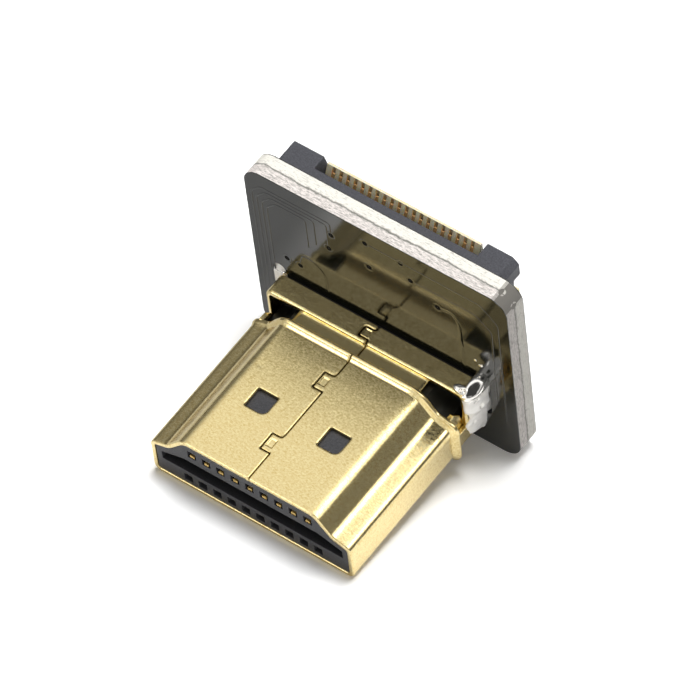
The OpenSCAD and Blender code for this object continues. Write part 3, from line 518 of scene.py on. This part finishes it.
# Necks: each is a strip that steps down from the lip, runs back and steps up into the collar.
t = np.linspace(0, 1, 7)
step = 3 * t ** 2 - 2 * t ** 3
top_line = np.concatenate([np.stack([9.7 + 0.25 * t, 4.25 - 0.2 * step], 1),
                           [(10.2, neck_z), (10.5, neck_z), (10.8, neck_z)],
                           np.stack([10.95 + 0.2 * t, neck_z + 0.12 * step], 1), [(11.4, neck_z + 0.12)]])
neck_columns = merged(np.linspace(-4.45, -0.2, 18), np.arange(-0.1, 0.3001, grid), np.linspace(0.45, 4.45, 17))
side_run = np.concatenate([top_line, (top_line - (0, sheet - 0.02))[::-1]])
x = np.broadcast_to(neck_columns[None], (len(side_run), len(neck_columns)))
upper = (np.arange(len(side_run)) < len(top_line))[:, None]
sunk = groove(np.abs(x - seam_x), 0.05, 0.045, 0.2) * upper
gap = np.clip((0.05 - np.abs(x - seam_x)) / 0.02, 0, 1) * upper
points = np.stack([x, np.broadcast_to(side_run[:, :1], x.shape), side_run[:, 1:] - sunk], axis=-1)
m, n = x.shape
k, i = np.meshgrid(np.arange(m), np.arange(n - 1), indexing="ij")
after = (k + 1) % m
faces = np.stack([k * n + i, k * n + i + 1, after * n + i + 1, after * n + i], -1).reshape(-1, 4)
caps = [[int(r * n) for r in range(m)], [int(r * n + n - 1) for r in range(m)]]
neck_top = make_piece("shell_neck_top", points, faces.tolist() + caps, gold, gap=gap)
neck_low = plate("shell_neck_wide_face", [(-6.2, 9.6), (6.2, 9.6), (6.2, 11.35), (-6.2, 11.35)], 0.02, sheet - 0.04,
                 axis=2)
tabs, legs, corners = [], [], []
low_corner = np.array([(6.2, 0.02), (6.42, 0.03), (6.6, 0.09), (6.76, 0.2), (6.86, 0.34), (6.9, 0.5), (6.9, 1.5),
                       (6.63, 1.5), (6.63, 0.56), (6.56, 0.42), (6.46, 0.34), (6.34, 0.3), (6.2, 0.3)])
tab_line = [(9.7, 1.0), (9.98, 1.0), (11.0, 1.1), (11.3, 1.1), (11.3, 1.75), (11.08, 1.8), (10.8, 2.6), (10.4, 3.05),
            (9.86, 3.08), (9.7, 2.6)]
leg_line = [(12.3, 1.5), (14.32, 1.5), (14.72, 1.9), (14.72, 3.5), (14.32, 3.9), (12.3, 3.9)]
for side, word in ((-1, "left"), (1, "right")):
    tabs.append(plate("shell_neck_" + word, tab_line, side * 6.6 - (0.31 if side > 0 else 0), 0.31))
    corners.append(plate("shell_neck_corner_" + word, low_corner * (side, 1), 9.75, 1.4, axis=1))
    legs.append(plate("shell_leg_" + word, leg_line, side * collar_x_half - (sheet if side > 0 else 0), sheet))
for piece in (collar, neck_top, neck_low, *tabs, *corners, *legs):
    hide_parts("plug_shell")

# Front moulding: black-grey glass-filled nylon, injection moulded, with a matt faintly grained skin and
# edges kept slightly round by the tool. It is pressed into the nose and carries the contacts in openings.


def worked_copy(name, node, material, edge=0.03, segments=2, body="adapter"):
    """A copy of a CAD node with its loose triangles merged into flat faces and its edges rounded by a
    bevel of `edge` mm, because no moulded or routed edge is sharp."""
    mesh = bpy.data.meshes.new(name)
    mesh.materials.append(material)
    work = bmesh.new()
    work.from_mesh(nodes[node].data)
    bmesh.ops.remove_doubles(work, verts=work.verts, dist=1e-7)
    bmesh.ops.dissolve_limit(work, angle_limit=math.radians(1), verts=work.verts, edges=work.edges)
    bmesh.ops.recalc_face_normals(work, faces=work.faces)
    work.verts.index_update()
    mesh.from_pydata([v.co[:] for v in work.verts], [], [[v.index for v in f.verts] for f in work.faces])
    work.free()
    mesh.polygons.foreach_set("use_smooth", np.full(len(mesh.polygons), True))
    piece = bpy.data.objects.new(name, mesh)
    scene.collection.objects.link(piece)
    round_edges(piece, "moulded_edges", edge, segments)
    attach(piece, body)
    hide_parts(node)
    return piece


nylon, tree, own = start_material("glass_filled_nylon_moulded_black")
# Glass fibres at the skin leave fine grey specks; the mould's spark-eroded face leaves a soft grain.
specks = add(tree, "TexNoise", {"Scale": 14.0, "Detail": 3.0, "Roughness": 0.6}, {"Vector": own})
shade = add(tree, "ValToRGB", links={"Fac": specks}, stops=((0.35, "#2B2C2E"), (0.7, "#444346")))
skin = add(tree, "Bump", {"Strength": 0.5, "Distance": 0.000006}, {"Height": specks})
# Inside the slot and the openings the nylon is painted near black: painted shade of those recesses.
place = add(tree, "SeparateXYZ", links={"Vector": own})
deep = add(tree, "MapRange", {"From Min": 0.12, "From Max": 0.8}, {"Value": place.outputs["Y"]})
under = add(tree, "MapRange", {"From Min": 4.05, "From Max": 3.95}, {"Value": place.outputs["Z"]})
recess_shade = add(tree, "Math", links={0: deep, 1: under}, operation="MULTIPLY")
body = add(tree, "Mix", {"B": linear("#09090A")}, {"Factor": recess_shade, "A": shade}, data_type="RGBA")
surface = add(tree, "BsdfPrincipled", {"Roughness": 0.48}, {"Base Color": body, "Normal": skin})
add(tree, "OutputMaterial", links={"Surface": surface})
front_moulding = worked_copy("front_moulding", "front_insulator", nylon)

# Contacts: phosphor bronze stamped in a strip and flashed with gold over nickel. Nineteen are pressed
# into the front moulding, each ending in a square-cut tip in its opening.
bronze, tree, own = start_material("phosphor_bronze_stamped_gold_flash")
# The rolled strip keeps fine lines along its length under the flash, which draw its gleam out lengthwise.
drawn = add(tree, "Mapping", {"Scale": (30.0, 1.5, 30.0)}, {"Vector": own})
lines = add(tree, "TexNoise", {"Scale": 1.0, "Detail": 2.0}, {"Vector": drawn})
rough = add(tree, "MapRange", {"From Min": 0.3, "From Max": 0.7, "To Min": 0.22, "To Max": 0.4}, {"Value": lines})
surface = add(tree, "BsdfPrincipled", {"Base Color": linear("#DDB96A"), "Metallic": 1.0}, {"Roughness": rough})
add(tree, "OutputMaterial", links={"Surface": surface})


def dress(names, material):
    """Gives CAD nodes that are shown as they are a material of their own."""
    for name in names:
        nodes[name].data.materials.clear()
        nodes[name].data.materials.append(material)


dress(["contact_%02d" % k for k in range(1, 20)], bronze)

# Rear moulding: the block in the neck and the collar, of the same nylon moulded against a polished tool. It is seen
# only deep in the neck's open corners, so it is painted near black as a dark gloss: painted shade, darker than the
# front moulding's nylon.
shadow_nylon, tree, own = start_material("glass_filled_nylon_gloss_painted_shade")
clouds = add(tree, "TexNoise", {"Scale": 3.0, "Detail": 3.0}, {"Vector": own})
shade = add(tree, "ValToRGB", links={"Fac": clouds}, stops=((0, "#0E0E0B"), (1, "#1A1914")))
surface = add(tree, "BsdfPrincipled", {"Roughness": 0.3}, {"Base Color": shade})
add(tree, "OutputMaterial", links={"Surface": surface})
rear_moulding = worked_copy("rear_moulding", "rear_insulator", shadow_nylon, 0.05)

# Board: glass-fibre laminate, 1.55 mm thick, with a glossy black mask on both faces. It was routed out
# of its panel, which left the edges bare, pale and fibrous, and broken off at a nibbled tab.
board_back = board_y + 1.55
mask_depth = 0.045  # drawn this thick so that the edge shows it
board_middle, hole_field = (0.265, 5.435), (8.385, 6.685)  # the board's middle, and half the field inside its outline

laminate, tree, own = start_material("epoxy_glass_routed_black_mask_screened")
axes = add(tree, "SeparateXYZ", links={"Vector": own})
from_middle = add(tree, "Math", {1: (board_y + board_back) / 2}, {0: axes.outputs["Y"]}, operation="SUBTRACT")
depth = add(tree, "Math", links={0: from_middle}, operation="ABSOLUTE")
masked = add(tree, "Math", {1: (board_back - board_y) / 2 - mask_depth}, {0: depth}, operation="GREATER_THAN")
# The bare edge shows the weave as short streaks along the layers, brighter where fibres stand cut,
# with a darker glue line between the two halves. Streaks are drawn 0.1 mm wide, twice the real yarn's.
layers = add(tree, "Mapping", {"Scale": (2.2, 9.0, 2.2)}, {"Vector": own})
yarn = add(tree, "TexNoise", {"Scale": 1.6, "Detail": 5.0, "Roughness": 0.7, "Distortion": 0.6}, {"Vector": layers})
fibre = add(tree, "ValToRGB", links={"Fac": yarn}, stops=((0.34, "#96928B"), (0.58, "#F0E8E3")))
cleaner = add(tree, "ValToRGB", links={"Fac": yarn}, stops=((0.28, "#A5A29A"), (0.5, "#F1EEE4")))
wander = add(tree, "TexNoise", {"Scale": 1.4, "Detail": 4.0, "Roughness": 0.65}, {"Vector": own})
glue_at = add(tree, "Math", {1: 0.4, 2: -0.22}, {0: wander}, operation="MULTIPLY_ADD")
off_glue = add(tree, "Math", links={0: from_middle, 1: glue_at}, operation="SUBTRACT")
glue_near = add(tree, "Math", links={0: off_glue}, operation="ABSOLUTE")
glue = add(tree, "MapRange", {"From Min": 0.015, "From Max": 0.09, "To Min": 0.85, "To Max": 0.0},
           {"Value": glue_near})
rearward = add(tree, "MapRange", {"From Min": 0.0, "From Max": 0.15}, {"Value": off_glue})
halves = add(tree, "Mix", links={"Factor": rearward, "A": fibre, "B": cleaner}, data_type="RGBA")
edge = add(tree, "Mix", {"B": linear("#63665C")}, {"Factor": glue, "A": halves}, data_type="RGBA")
# Drilled and milled holes inside the outline are painted near black: painted shade of their depth.
across = add(tree, "Math", {1: board_middle[0]}, {0: axes.outputs["X"]}, operation="SUBTRACT")
upward = add(tree, "Math", {1: board_middle[1]}, {0: axes.outputs["Z"]}, operation="SUBTRACT")
off_side, off_level = (add(tree, "Math", links={0: off}, operation="ABSOLUTE") for off in (across, upward))
side = add(tree, "Math", {1: hole_field[0]}, {0: off_side}, operation="LESS_THAN")
level = add(tree, "Math", {1: hole_field[1]}, {0: off_level}, operation="LESS_THAN")
hole_shade = add(tree, "Math", links={0: side, 1: level}, operation="MULTIPLY")
wall = add(tree, "Mix", {"B": linear("#0B0A08")}, {"Factor": hole_shade, "A": edge}, data_type="RGBA")
coat = add(tree, "TexNoise", {"Scale": 2.5, "Detail": 3.0}, {"Vector": own})
mask = add(tree, "ValToRGB", links={"Fac": coat}, stops=((0, "#15160F"), (1, "#1C1D17")))
# The corner over the right leg is cut off by the nibbled tab: its faces, which turn up and to the right, are greyer.
turned = add(tree, "SeparateXYZ", links={"Vector": add(tree, "NewGeometry").outputs["True Normal"]})
slanted = add(tree, "Math", links={0: turned.outputs["X"], 1: turned.outputs["Z"]}, operation="MULTIPLY")
up_right_faces = add(tree, "MapRange", {"From Min": 0.12, "From Max": 0.3}, {"Value": slanted})
# painted shade: the faces that turn to the right, down the board's right edge, are greyed too
right_side_shade = add(tree, "MapRange", {"From Min": 0.7, "From Max": 0.95, "To Max": 0.48}, {"Value": turned.outputs["X"]})
greyed_and_shaded = add(tree, "Math", links={0: up_right_faces, 1: right_side_shade}, operation="MAXIMUM")
edge_greyed_and_shaded = add(tree, "Mix", {"B": linear("#6B6862")}, {"Factor": greyed_and_shaded, "A": wall}, data_type="RGBA")
colour = add(tree, "Mix", links={"Factor": masked, "A": edge_greyed_and_shaded, "B": mask}, data_type="RGBA")
rough = add(tree, "MapRange", {"To Min": 0.75, "To Max": 0.1}, {"Value": masked})
bare = add(tree, "Math", {0: 1.0}, {1: masked}, operation="SUBTRACT")
height = add(tree, "Math", links={0: yarn, 1: bare}, operation="MULTIPLY")
fuzz = add(tree, "Bump", {"Strength": 0.7, "Distance": 0.00004}, {"Height": height})
surface = add(tree, "BsdfPrincipled", {"IOR": 1.65}, {"Base Color": colour, "Roughness": rough, "Normal": fuzz})
add(tree, "OutputMaterial", links={"Surface": surface})
board = worked_copy("board_laminate", "board", laminate, 0.04)

# Copper tracks and rings under the mask stand 0.02 mm proud of it; the mask flows over them in low domes.


def track(path, width, rise=0.022):
    """A low domed strip along a path on the board's front: across it the height falls off as a half cosine, and at
    each point the strip lies square to the mean of the two ways that meet there."""
    path = np.asarray(path, float)
    d = np.diff(path, axis=0)
    d /= np.linalg.norm(d, axis=1)[:, None]
    d = np.concatenate([d[:1], d[:-1] + d[1:], d[-1:]])
    d /= np.linalg.norm(d, axis=1)[:, None]
    side = np.stack([-d[:, 1], d[:, 0]], axis=1)
    across = np.linspace(-1, 1, 9)
    place = path[:, None] + side[:, None] * (across * width / 2)[None, :, None]
    lift = rise * np.cos(across * math.pi / 2) ** 0.6 - 0.004
    return np.stack([place[..., 0], board_y - np.broadcast_to(lift, place.shape[:2]), place[..., 1]], axis=-1)


def bent(knots):
    """A path through knots (x, z) with each corner cut by an arc."""
    knots = np.asarray(knots, float)
    return rounded_path(np.column_stack([knots, np.full(len(knots), 0.25)]))


def joined_strips(strips):
    """Joins several grids of points into one list of points and one of quads."""
    points, faces, count = [], [], 0
    for strip in strips:
        m, n = strip.shape[:2]
        k, i = np.meshgrid(np.arange(m - 1), np.arange(n - 1), indexing="ij")
        a = (k * n + i + count).ravel()
        points.append(strip.reshape(-1, 3))
        faces.append(np.stack([a, a + n, a + n + 1, a + 1], axis=-1))
        count += m * n
    return np.concatenate(points), np.concatenate(faces)


vias = np.array([(-6.33, 5.85), (-5.4, 5.83), (-3.1, 9.13), (-2.82, 10.56), (-0.4, 11.55), (-0.3, 9.42),
                 (2.02, 11.45), (2.61, 10.27), (4.36, 9.07)])
paths = [(bent([(-5.4, 5.83), (-5.11, 6.94), (-4.42, 6.88), (-3.84, 6.46), (-3.56, 5.81), (-3.59, 4.3)]), 0.2),
         (bent([(4.36, 9.07), (5.35, 9.2), (5.78, 8.58), (5.78, 3.5)]), 0.34),
         (bent([(2.61, 10.27), (7.0, 10.3), (8.02, 9.39), (7.96, 2.5)]), 0.14),
         (bent([(-0.4, 11.55), (7.4, 11.5), (8.5, 10.4), (8.5, 1.0)]), 0.14)]
paths += [(bent([(-8.3 + s, -1.0), (-8.3 + s, 10.9 - s), (-7.6 + s, 11.6 - s), (v[0], 11.6 - s), (v[0], v[1])]), 0.13)
          for s, v in ((0.0, vias[3]), (0.32, vias[2]), (0.64, (-4.0, 8.6)), (0.96, (-4.6, 7.9)))]
for path, width in paths:  # each end stops 0.22 mm short of its hole
    inward = path[[1, -2]] - path[[0, -1]]
    path[[0, -1]] += 0.22 * inward / np.linalg.norm(inward, axis=1)[:, None]
circle = unit(np.linspace(0, 2 * math.pi, 33))
rings = [track(v + 0.29 * circle, 0.14, 0.012) for v in vias]
points, faces = joined_strips([track(p, w) for p, w in paths] + rings)
tracks = make_piece("board_tracks", points, faces, laminate, mend=False)

# The mask has drawn back from the mouth of each small hole and left a matt dark ring of oxide.
oxide, tree, own = start_material("copper_ring_oxidised_matt")
crust = add(tree, "TexNoise", {"Scale": 9.0, "Detail": 2.0}, {"Vector": own})
dark = add(tree, "MapRange", {"To Min": 0.75, "To Max": 1.0}, {"Value": crust})
surface = add(tree, "BsdfPrincipled", {"Base Color": linear("#0C0A07"), "Specular IOR Level": 0.15},
              {"Roughness": dark})
add(tree, "OutputMaterial", links={"Surface": surface})
points, faces = joined_strips([track(v + 0.12 * circle, 0.12, 0.008) for v in vias])
make_piece("board_hole_rings", points, faces, oxide, mend=False)

# Solder: tin-lead, run in by hand with an iron. A thick lumpy run goes down the right side of the collar
# with a drop standing above it, and a slope in the left leg's slot sinks toward its upper end.
tin, tree, own = start_material("tin_lead_solder_flowed")
# Flowed solder sets with a mirror skin over slow ripples, and clouds a little where it cooled last.
ripple = add(tree, "TexNoise", {"Scale": 2.6, "Detail": 3.0, "Roughness": 0.55}, {"Vector": own})
skin = add(tree, "Bump", {"Strength": 1.0, "Distance": 0.000015}, {"Height": ripple})
cloud = add(tree, "MapRange", {"From Min": 0.4, "From Max": 0.7, "To Min": 0.06, "To Max": 0.16}, {"Value": ripple})
# Down the collar's side it froze slowly against the cold sheet, which left it frosty and pale.
place = add(tree, "SeparateXYZ", links={"Vector": own})
in_board = add(tree, "MapRange", {"From Min": 12.6, "From Max": 12.7, "To Max": 0.6}, {"Value": place.outputs["Y"]})
level = add(tree, "Math", links={0: place.outputs["Z"], 1: in_board}, operation="SUBTRACT")
low_down = add(tree, "MapRange", {"From Min": 4.25, "From Max": 3.95}, {"Value": level})
ahead = add(tree, "Math", {1: 13.5}, {0: place.outputs["Y"]}, operation="LESS_THAN")
lower = add(tree, "Math", links={0: low_down, 1: ahead}, operation="MULTIPLY")
frost = add(tree, "Mix", {3: 0.4}, {"Factor": lower, 2: cloud})
metal = add(tree, "MapRange", {"To Min": 1.0, "To Max": 0.25}, {"Value": lower})
surface = add(tree, "BsdfPrincipled", {"Base Color": linear("#FFFCF6")},
              {"Metallic": metal, "Roughness": frost, "Normal": skin})
add(tree, "OutputMaterial", links={"Surface": surface})


def places(low, high, step):
    """Points of a grid that fills a box, as an array with the axes first."""
    axes = [np.arange(a, b + step / 2, step) for a, b in zip(low, high)]
    return np.stack(np.meshgrid(*axes, indexing="ij"), axis=-1)


def blob(p, centre, radii):
    """Depth inside an ellipsoid: with q the place over the radii, |q| (1 - |q|) over |q / radii|."""
    q = (p - centre) / radii
    near = np.linalg.norm(q, axis=-1) + 1e-6
    return near * (1 - near) / np.linalg.norm(q / radii + 1e-6, axis=-1)


def flowed(soft, *depths):
    """Several depths flowed into one: soft times the logarithm of the sum of exp(depth / soft)."""
    top = np.maximum.reduce(depths)
    return top + soft * np.log(sum(np.exp((d - top) / soft) for d in depths))


def skin_of(depth, low, step):
    """Closed skin where a depth on a grid changes sign: each cell that the skin crosses gets one point,
    the mean of the crossings on its twelve edges, and each crossed edge a quad of the four cells round it."""
    cells = tuple(np.array(depth.shape) - 1)
    total, count = np.zeros((*cells, 3)), np.zeros(cells)
    for axis in range(3):
        u, v = (axis + 1) % 3, (axis + 2) % 3
        for i, j in ((0, 0), (0, 1), (1, 0), (1, 1)):
            here = [slice(0, c) for c in cells]
            here[u], here[v] = slice(i, i + cells[u]), slice(j, j + cells[v])
            ahead = list(here)
            ahead[axis] = slice(1, 1 + cells[axis])
            a, b = depth[tuple(here)], depth[tuple(ahead)]
            crossed = (a > 0) != (b > 0)
            total[..., axis] += np.where(crossed, a / np.where(crossed, a - b, 1), 0)
            total[..., u] += i * crossed
            total[..., v] += j * crossed
            count += crossed
    used = count > 0
    index = np.zeros(cells, int)
    index[used] = np.arange(used.sum())
    points = low + step * (np.argwhere(used) + total[used] / count[used][:, None])
    faces = []
    for axis in range(3):
        u, v = (axis + 1) % 3, (axis + 2) % 3
        here = [slice(1, -1)] * 3
        here[axis] = slice(0, -1)
        ahead = list(here)
        ahead[axis] = slice(1, None)
        a, b = depth[tuple(here)], depth[tuple(ahead)]
        at = np.argwhere((a > 0) != (b > 0))
        rising = a[tuple(at.T)] > 0
        at[:, [u, v]] += 1
        quad = []
        for i, j in ((1, 1), (0, 1), (0, 0), (1, 0)):
            cell = at.copy()
            cell[:, u] -= i
            cell[:, v] -= j
            quad.append(index[tuple(cell.T)])
        quad = np.stack(quad, axis=1)
        faces.append(np.where(rising[:, None], quad, quad[:, ::-1]))
    return points, np.concatenate(faces)


slot_x, slot_z, slot_straight = 6.97, 2.925, 1.42  # the slots' middles, and half of their straight sides


def leg_mound(p, side):
    """Solder behind the board round a leg: a low mound over the slot and a steeper one up the leg."""
    low = blob(p, (side * slot_x, 14.16, 2.9), (0.66, 0.2, 2.05))
    steep = blob(p, (side * 6.74, 14.2, 2.7), (0.42, 0.42, 1.5))
    return np.minimum(flowed(0.05, low, steep), p[..., 1] - 14.1)


def in_slot(p, side, half=0.44):
    """Depth inside a leg's slot through the board: an upright stadium, cut off at the board's two faces."""
    round_end = np.hypot(p[..., 0] - side * slot_x, np.maximum(np.abs(p[..., 2] - slot_z) - slot_straight, 0))
    return np.minimum.reduce([half - round_end, p[..., 1] - 12.55, 14.3 - p[..., 1]])


# Up the collar's side the run is a bulging fillet: level by level it reaches from a front edge on the
# side to a foot on the board. On top of the collar a ridge lies along it and rises to the board.
step = 0.04
low = np.array((5.3, 10.5, -0.3))
p = places(low, (8.3, 14.8, 5.8), step)
x, y, z = p[..., 0], p[..., 1], p[..., 2]
foot = np.interp(z, (-0.2, 0.1, 0.6, 1.4, 2.0, 2.4, 2.6, 3.1, 3.6, 4.1, 4.5),
                 (0.03, 0.12, 0.22, 0.27, 0.3, 0.5, 0.54, 0.48, 0.56, 0.64, 0.66))
reach = np.interp(z, (-0.2, 0.1, 0.6, 1.2, 1.6, 1.9, 2.3, 2.8, 3.4, 4.3),
                  (0.2, 0.8, 1.5, 1.72, 1.7, 1.35, 1.4, 1.7, 1.76, 1.7))
hollow = (np.maximum((x - 6.86) / foot, 0) ** 2.2 + np.maximum((12.66 - y) / reach, 0) ** 2.2) ** (1 / 2.2)
fillet = np.minimum.reduce([(1 - hollow) * np.minimum(foot, 0.4), x - 6.8, 4.4 - z])
# The drop is an egg that the iron's tip, drawn away toward the front, left with a flat.
drop_middle = (7.08, 12.1, 4.44)
facing = (p - drop_middle) @ (0.396, -0.435, 0.809)
drop = -flowed(0.05, -blob(p, drop_middle, (0.5, 1.15, 0.5)), facing - 0.44)
waves = np.sin(3.3 * x + 4.1 * z) * np.sin(4.7 * y + 1.3 * z + 1)
front = flowed(0.05, fillet, blob(p, (7.02, 11.5, 4.05), (0.3, 0.5, 0.42)),
               blob(p, (6.42, 11.33, 4.4), (0.46, 0.3, 0.24)),
               blob(p, (6.75, 11.75, 4.34), (0.3, 0.4, 0.2))) + 0.012 * waves
front = flowed(0.03, front, drop)
# a hollow where the lobe meets the ridge, and three pits where flux boiled out
for centre, radii in (((6.72, 11.2, 4.6), (0.2, 0.17, 0.3)),
                      ((7.34, 11.6, 3.62), (0.2, 0.2, 0.12)), ((7.36, 11.95, 2.72), (0.2, 0.12, 0.2)),
                      ((7.1, 11.5, 1.5), (0.12, 0.14, 0.12))):
    front = -flowed(0.02, -front, blob(p, centre, radii))
q = np.abs(p[..., ::2] - (0, collar_h / 2)) - (collar_x_half, collar_h / 2) + 0.5
past_collar = np.linalg.norm(np.maximum(q, 0), axis=-1) + np.minimum(q.max(-1), 0) - 0.5
front = np.minimum.reduce([front, past_collar + 0.06, 12.66 - y])
sunk = np.minimum(in_slot(p, 1), y - 12.55 - 2.5 * np.maximum(x - 6.98, 0))
points, faces = skin_of(flowed(0.03, front, sunk, leg_mound(p, 1)), low, step)
solder_right = make_piece("leg_solder_right_run", points, faces, tin)
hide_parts("leg_solder_right")

# In the left slot the solder is flush with the mask below and sinks away from it toward the upper end.
low = np.array((-7.8, 12.3, 0.2))
p = places(low, (-6.1, 14.8, 5.2), step)
x, y, z = p[..., 0], p[..., 1], p[..., 2]
left = np.minimum(in_slot(p, -1, 0.47), y - 12.58 - 0.35 * (z - 4.05))
crumb = blob(p, (-6.64, 12.53, 4.36), (0.11, 0.11, 0.12))
points, faces = skin_of(flowed(0.02, left, leg_mound(p, -1), crumb), low, step)
solder_left = make_piece("leg_solder_left_slope", points, faces, tin)
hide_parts("leg_solder_left")

# Two splashes that the iron left on the mask above the run.
low = np.array((6.3, 12.5, 5.2))
p = places(low, (7.4, 12.7, 6.1), 0.02)
splash = flowed(0.02, blob(p, (6.65, 12.63, 5.79), (0.1, 0.03, 0.12)),
                blob(p, (6.98, 12.63, 5.52), (0.15, 0.05, 0.11)), blob(p, (7.1, 12.63, 5.62), (0.08, 0.03, 0.07)))
points, faces = skin_of(splash, low, 0.02)
splashes = make_piece("solder_splashes", points, faces, tin)

# Each contact pin stands in a concave cone of solder behind the board: its radius falls from 0.42 mm to
# the pin's 0.17 with the power 2.2 of the way that is left to its tip.
up = np.linspace(0, 1, 9)
profile = np.concatenate([[(0.0, -0.02), (0.42, -0.02)], np.stack([0.17 + 0.25 * (1 - up) ** 2.2, 0.5 * up], 1),
                          [(0.0, 0.52)]])
pins = np.array([(k - 4, 3.35) for k in range(9)] + [(k - 4.5, 0.83) for k in range(10)])
turn = 24  # points round a cone
a = np.linspace(0, 2 * math.pi, turn + 1)[:-1]
radius, height = profile[None, :, None, 0], profile[None, :, None, 1]
cones = np.stack(np.broadcast_arrays(pins[:, None, None, 0] + radius * np.cos(a), board_back + height,
                                     pins[:, None, None, 1] + radius * np.sin(a)), axis=-1)
quads = ring_faces(len(profile), turn)[:(len(profile) - 1) * turn]
faces = (quads[None] + (np.arange(len(pins)) * len(profile) * turn)[:, None, None]).reshape(-1, 4)
joints = make_piece("pin_solder_cones", cones, faces, tin)
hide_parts("pin_solder")

# Ribbon connector: its body is natural cream liquid-crystal polymer, moulded with a comb of grooves.
# The slider is black-grey polyphenylene sulphide, and wedges the ribbon when it is pushed down.
cream, tree, own = start_material("liquid_crystal_polymer_moulded_natural")
# The polymer flows in faint streaks along the mould and lets a little light in at its thin ribs.
flow = add(tree, "Mapping", {"Scale": (0.8, 4.0, 2.0)}, {"Vector": own})
streak = add(tree, "TexNoise", {"Scale": 2.0, "Detail": 3.0}, {"Vector": flow})
shade = add(tree, "ValToRGB", links={"Fac": streak}, stops=((0, "#DCCFA4"), (1, "#F6EED4")))
# the rib sides between the ribs are painted orange-brown: a painted glow for the light that passes through the
# polymer there
place = add(tree, "SeparateXYZ", links={"Vector": own})
faces = add(tree, "SeparateXYZ", links={"Vector": add(tree, "NewGeometry").outputs["True Normal"]})
ribs = add(tree, "Math", {1: 0.7}, {0: faces.outputs["X"]}, operation="GREATER_THAN")
inside = add(tree, "Math", {1: 5.0}, {0: place.outputs["X"]}, operation="LESS_THAN")
painted_glow = add(tree, "Math", links={0: ribs, 1: inside}, operation="MULTIPLY")
body = add(tree, "Mix", {"B": linear("#FFCE86")}, {"Factor": painted_glow, "A": shade}, data_type="RGBA")
surface = add(tree, "BsdfPrincipled", {"Roughness": 0.42, "Subsurface Weight": 0.5,
                                       "Subsurface Radius": (0.0006, 0.00045, 0.00025)}, {"Base Color": body})
add(tree, "OutputMaterial", links={"Surface": surface})
housing = worked_copy("ribbon_body", "ribbon_housing", cream)

grey, tree, own = start_material("polyphenylene_sulphide_moulded_matt")
# Mineral filler greys the matt skin with fine specks, drawn at 0.1 mm so that they show.
specks = add(tree, "TexNoise", {"Scale": 10.0, "Detail": 4.0, "Roughness": 0.7}, {"Vector": own})
shade = add(tree, "ValToRGB", links={"Fac": specks}, stops=((0.3, "#37383C"), (0.72, "#525258")))
skin = add(tree, "Bump", {"Strength": 0.6, "Distance": 0.000008}, {"Height": specks})
surface = add(tree, "BsdfPrincipled", {"Roughness": 0.5}, {"Base Color": shade, "Normal": skin})
add(tree, "OutputMaterial", links={"Surface": surface})
slider = worked_copy("ribbon_slide_lock", "ribbon_slider", grey, 0.06, 3, body="slider")

# Twenty contacts of phosphor bronze lie in the comb's grooves, with their feet soldered to the board.
# They were left as rolled, without gold, so they look matt and brown between the ribs.
rolled, tree, own = start_material("phosphor_bronze_rolled_matt")
rubbed = add(tree, "TexNoise", {"Scale": 8.0, "Detail": 2.0}, {"Vector": own})
rough = add(tree, "MapRange", {"To Min": 0.5, "To Max": 0.75}, {"Value": rubbed})
surface = add(tree, "BsdfPrincipled", {"Base Color": linear("#E2B67C"), "Metallic": 0.6}, {"Roughness": rough})
add(tree, "OutputMaterial", links={"Surface": surface})
dress(["ribbon_contact_%02d" % k for k in range(1, 21)], rolled)

# Two anchors of tinned brass sheet, pressed into the housing's ends and soldered down: a dull grey-white
# with a faint frost.
tinned, tree, own = start_material("brass_sheet_tinned_matt")
frost = add(tree, "TexNoise", {"Scale": 12.0, "Detail": 2.0}, {"Vector": own})
rough = add(tree, "MapRange", {"From Min": 0.3, "From Max": 0.7, "To Min": 0.3, "To Max": 0.5}, {"Value": frost})
surface = add(tree, "BsdfPrincipled", {"Base Color": linear("#CFCDC6"), "Metallic": 1.0}, {"Roughness": rough})
add(tree, "OutputMaterial", links={"Surface": surface})
for name in ("ribbon_anchor_left", "ribbon_anchor_right"):
    worked_copy(name + "_tinned", name, tinned, 0.03)
dress(["ribbon_solder"], tin)
